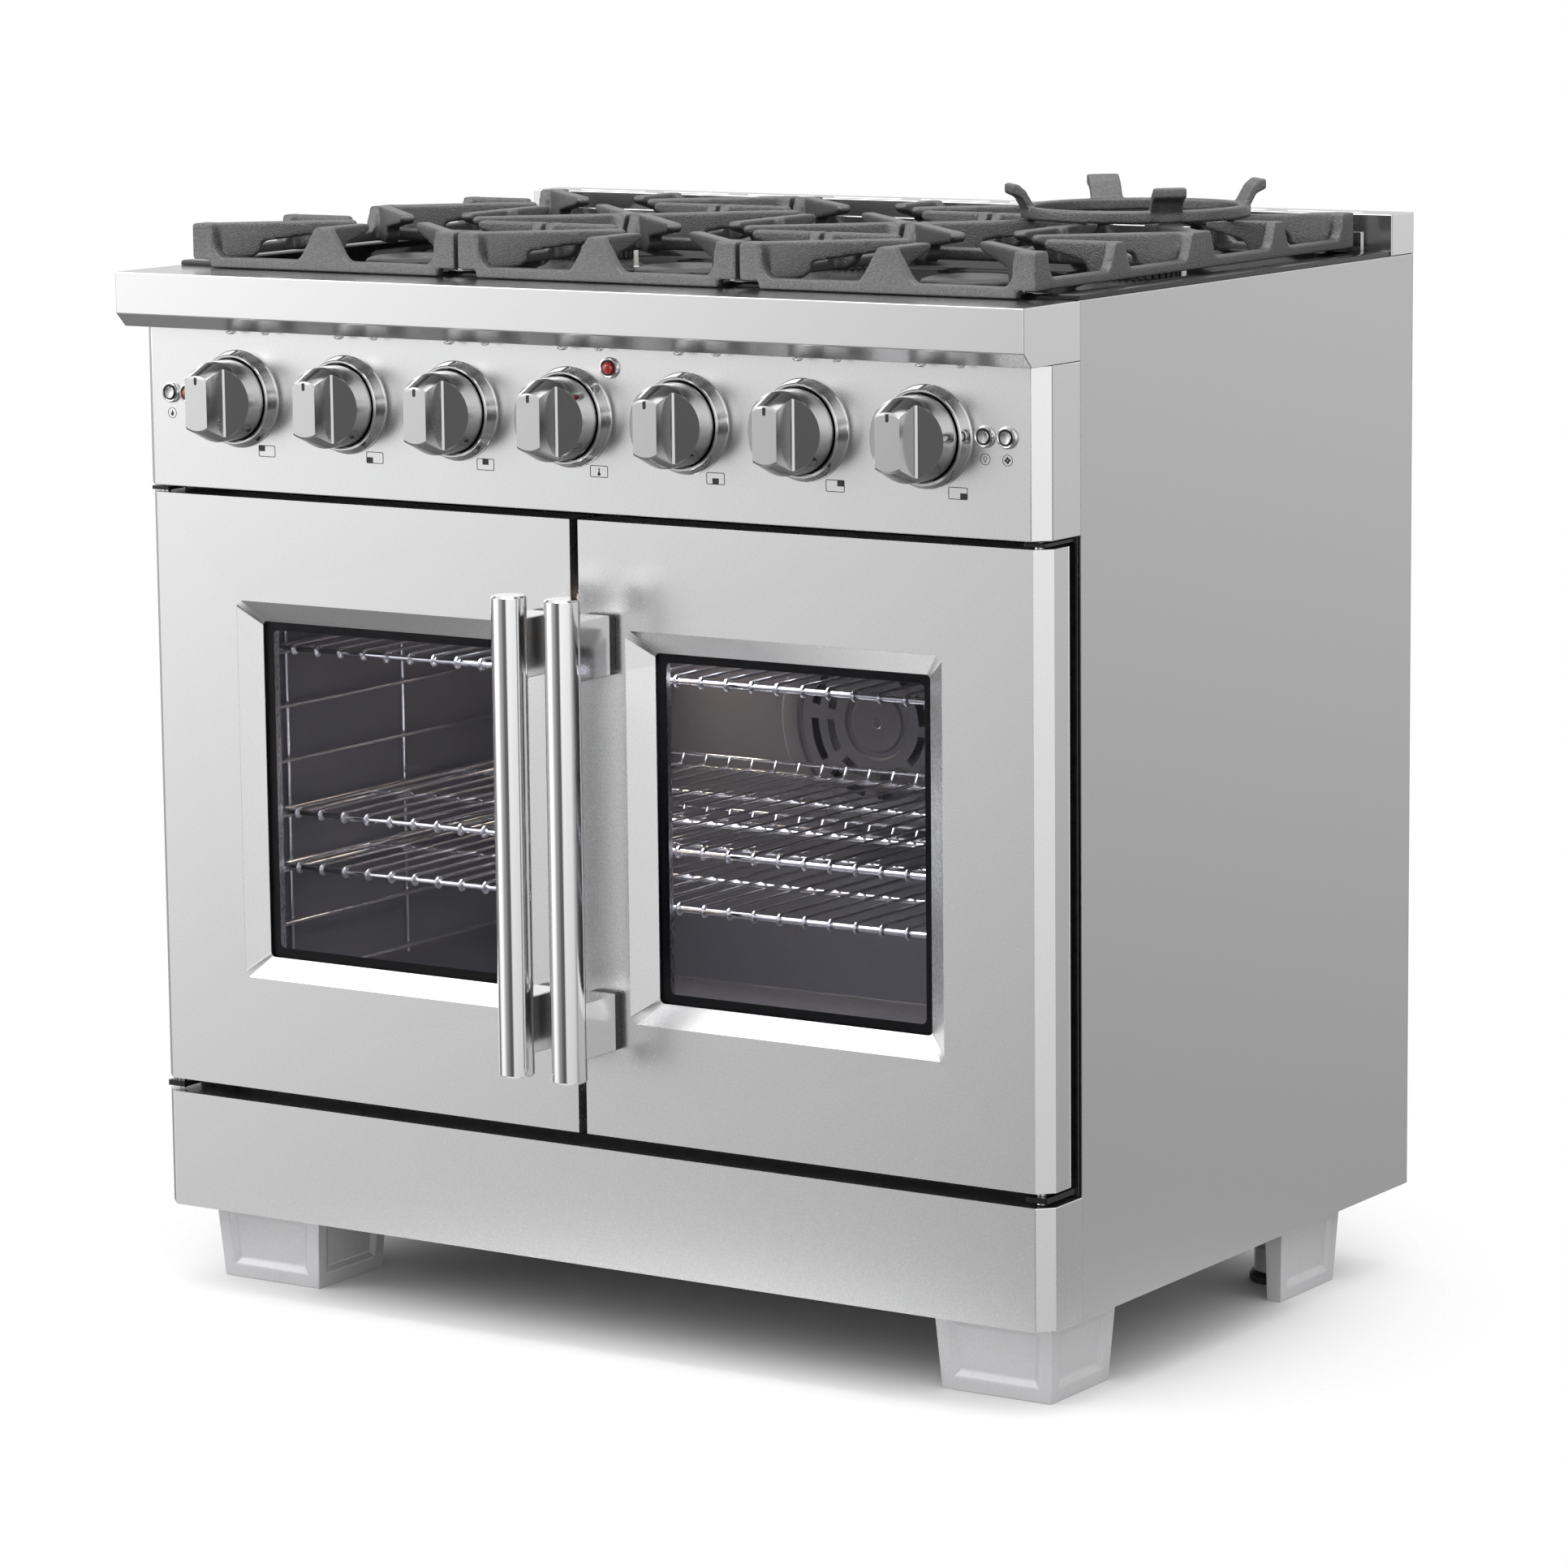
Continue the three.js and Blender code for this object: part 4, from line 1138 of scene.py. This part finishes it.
def oven_fittings():
    """The woven door seal and the lamp at the back."""
    bm = bmesh.new()
    seal = rectangle(grown(LINER[0], 14), grown(LINER[2], 14), 22, 8)
    add_tube(bm, [(u, 39.8, v) for u, v in seal], 3.0, 12, closed=True)
    make("oven_gasket", bm, GASKET, slot="black_enamel", smooth=60)

    bm = bmesh.new()
    wall = LINER[1][1] - 2.2
    ring = [(0, wall), (32, wall), (32, wall - 4), (29, wall - 7), (26, wall - 7), (25, wall - 6),
            (0, wall - 6)]
    add_lathe(bm, "y", ring, OVEN_LAMP, 48)
    make("oven_lamp_ring", bm, CHROME, slot="chrome_wire")
    bm = bmesh.new()
    angles = [math.radians(a) for a in range(0, 90, 10)]
    dome = [(25 * math.cos(a), wall - 6.2 - 11 * math.sin(a)) for a in angles]
    add_lathe(bm, "y", [(0, wall - 6.1), *dome, (0, wall - 17.2)], OVEN_LAMP, 48)
    make("oven_lamp_glass", bm, CERAMIC, slot="lamp_lens")


# Feet ----

def panelled(bm, faces, margin, slope, depth):
    """Presses a recessed panel with sloping sides into each face."""
    bmesh.ops.inset_individual(bm, faces=faces, thickness=margin, use_even_offset=True)
    bmesh.ops.inset_individual(bm, faces=faces, thickness=slope, depth=-depth, use_even_offset=True)


FOOT_TAPER = 5


def feet():
    """Cast front feet, and rear tubes on glides behind a cover."""
    for word, side in SIDES.items():
        x, d, (_, top) = span_of("foot_front_right")
        bm = bmesh.new()
        low = rectangle(grown(x, -FOOT_TAPER), grown(d, -FOOT_TAPER))
        add_loft(bm, [[(u, v, 0) for u, v in low], [(u, v, top) for u, v in rectangle(x, d)]])
        bmesh.ops.recalc_face_normals(bm, faces=bm.faces[:])
        walls = [f for f in bm.faces if abs(f.normal.z) < 0.5]
        panelled(bm, walls, 12, 6, 3.5)
        foot = make(f"foot_front_{word}_casting", mirrored(bm, side), FOOT_PAINT, slot="foot_paint",
                    replaces=[f"foot_front_{word}"])
        bevel(foot, 1.0, 2, 20)
        (x0, x1), d, (_, top) = span_of("foot_rear_right")
        bm = bmesh.new()
        add_loft(bm, [[(u, v, 0) for u, v in rectangle((x0, x1 - 4), grown(d, -FOOT_TAPER))],
                      [(u, v, top) for u, v in rectangle((x0, x1), d)]])
        bmesh.ops.recalc_face_normals(bm, faces=bm.faces[:])
        panelled(bm, [f for f in bm.faces if f.normal.x > 0.9], 11, 6, 3.5)
        cover = make(f"foot_rear_{word}_cover", mirrored(bm, side), FOOT_PAINT, slot="foot_paint",
                     replaces=[f"foot_rear_{word}"])
        bevel(cover, 0.8, 2, 20)
        x, d, (_, top) = span_of(f"leg_rear_{word}")
        bm = bmesh.new()
        tube = [(0, 5), (19.5, 5), (21, 6.5), (21, 32), (20, 33), (20, 34.5), (24, 35), (24.6, 36),
                (24.6, top), (0, top)]
        add_lathe(bm, "z", tube, segments=64)
        make(f"leg_rear_{word}_tube", bm, STEEL_POLISHED, slot="galvanised_steel",
             replaces=[f"leg_rear_{word}"], at=(middle(x), middle(d), 0))
        bm = bmesh.new()
        add_lathe(bm, "z", [(0, 0), (23, 0), (25, 1.5), (25, 7), (22.5, 10), (0, 10)], segments=64)
        make(f"leg_rear_{word}_glide", bm, RUBBER, slot="black_enamel", at=(middle(x), middle(d), 0))


# Scene ----

camera()
studio()
floor()
area_light("key", (-2.2, -2.6, 2.6), (0, 0, 0.5), 2.2, 30)
area_light("top", (0.2, -0.2, 2.8), (0, 0, 0.9), 2.4, 30)
area_light("oven_glow", spot(-250, 440, 600), spot(40, 260, 300), 0.06, 1.1, (1, 0.84, 0.66), 130)
area_light("oven_fill", spot(0, 170, 642), spot(0, 280, 300), 0.4, 4.4, (0.97, 0.97, 1), 96)

shell()
for side_word, sign in SIDES.items():
    door(side_word, sign)
control_panel()
knob_bezels()
knobs()
small_controls()
icons()
rail_screws()
cooktop_pan()
burners()
cast_iron()
racks()
fan_cover()
oven_fittings()
feet()

bpy.context.scene.view_settings.view_transform = "Standard"
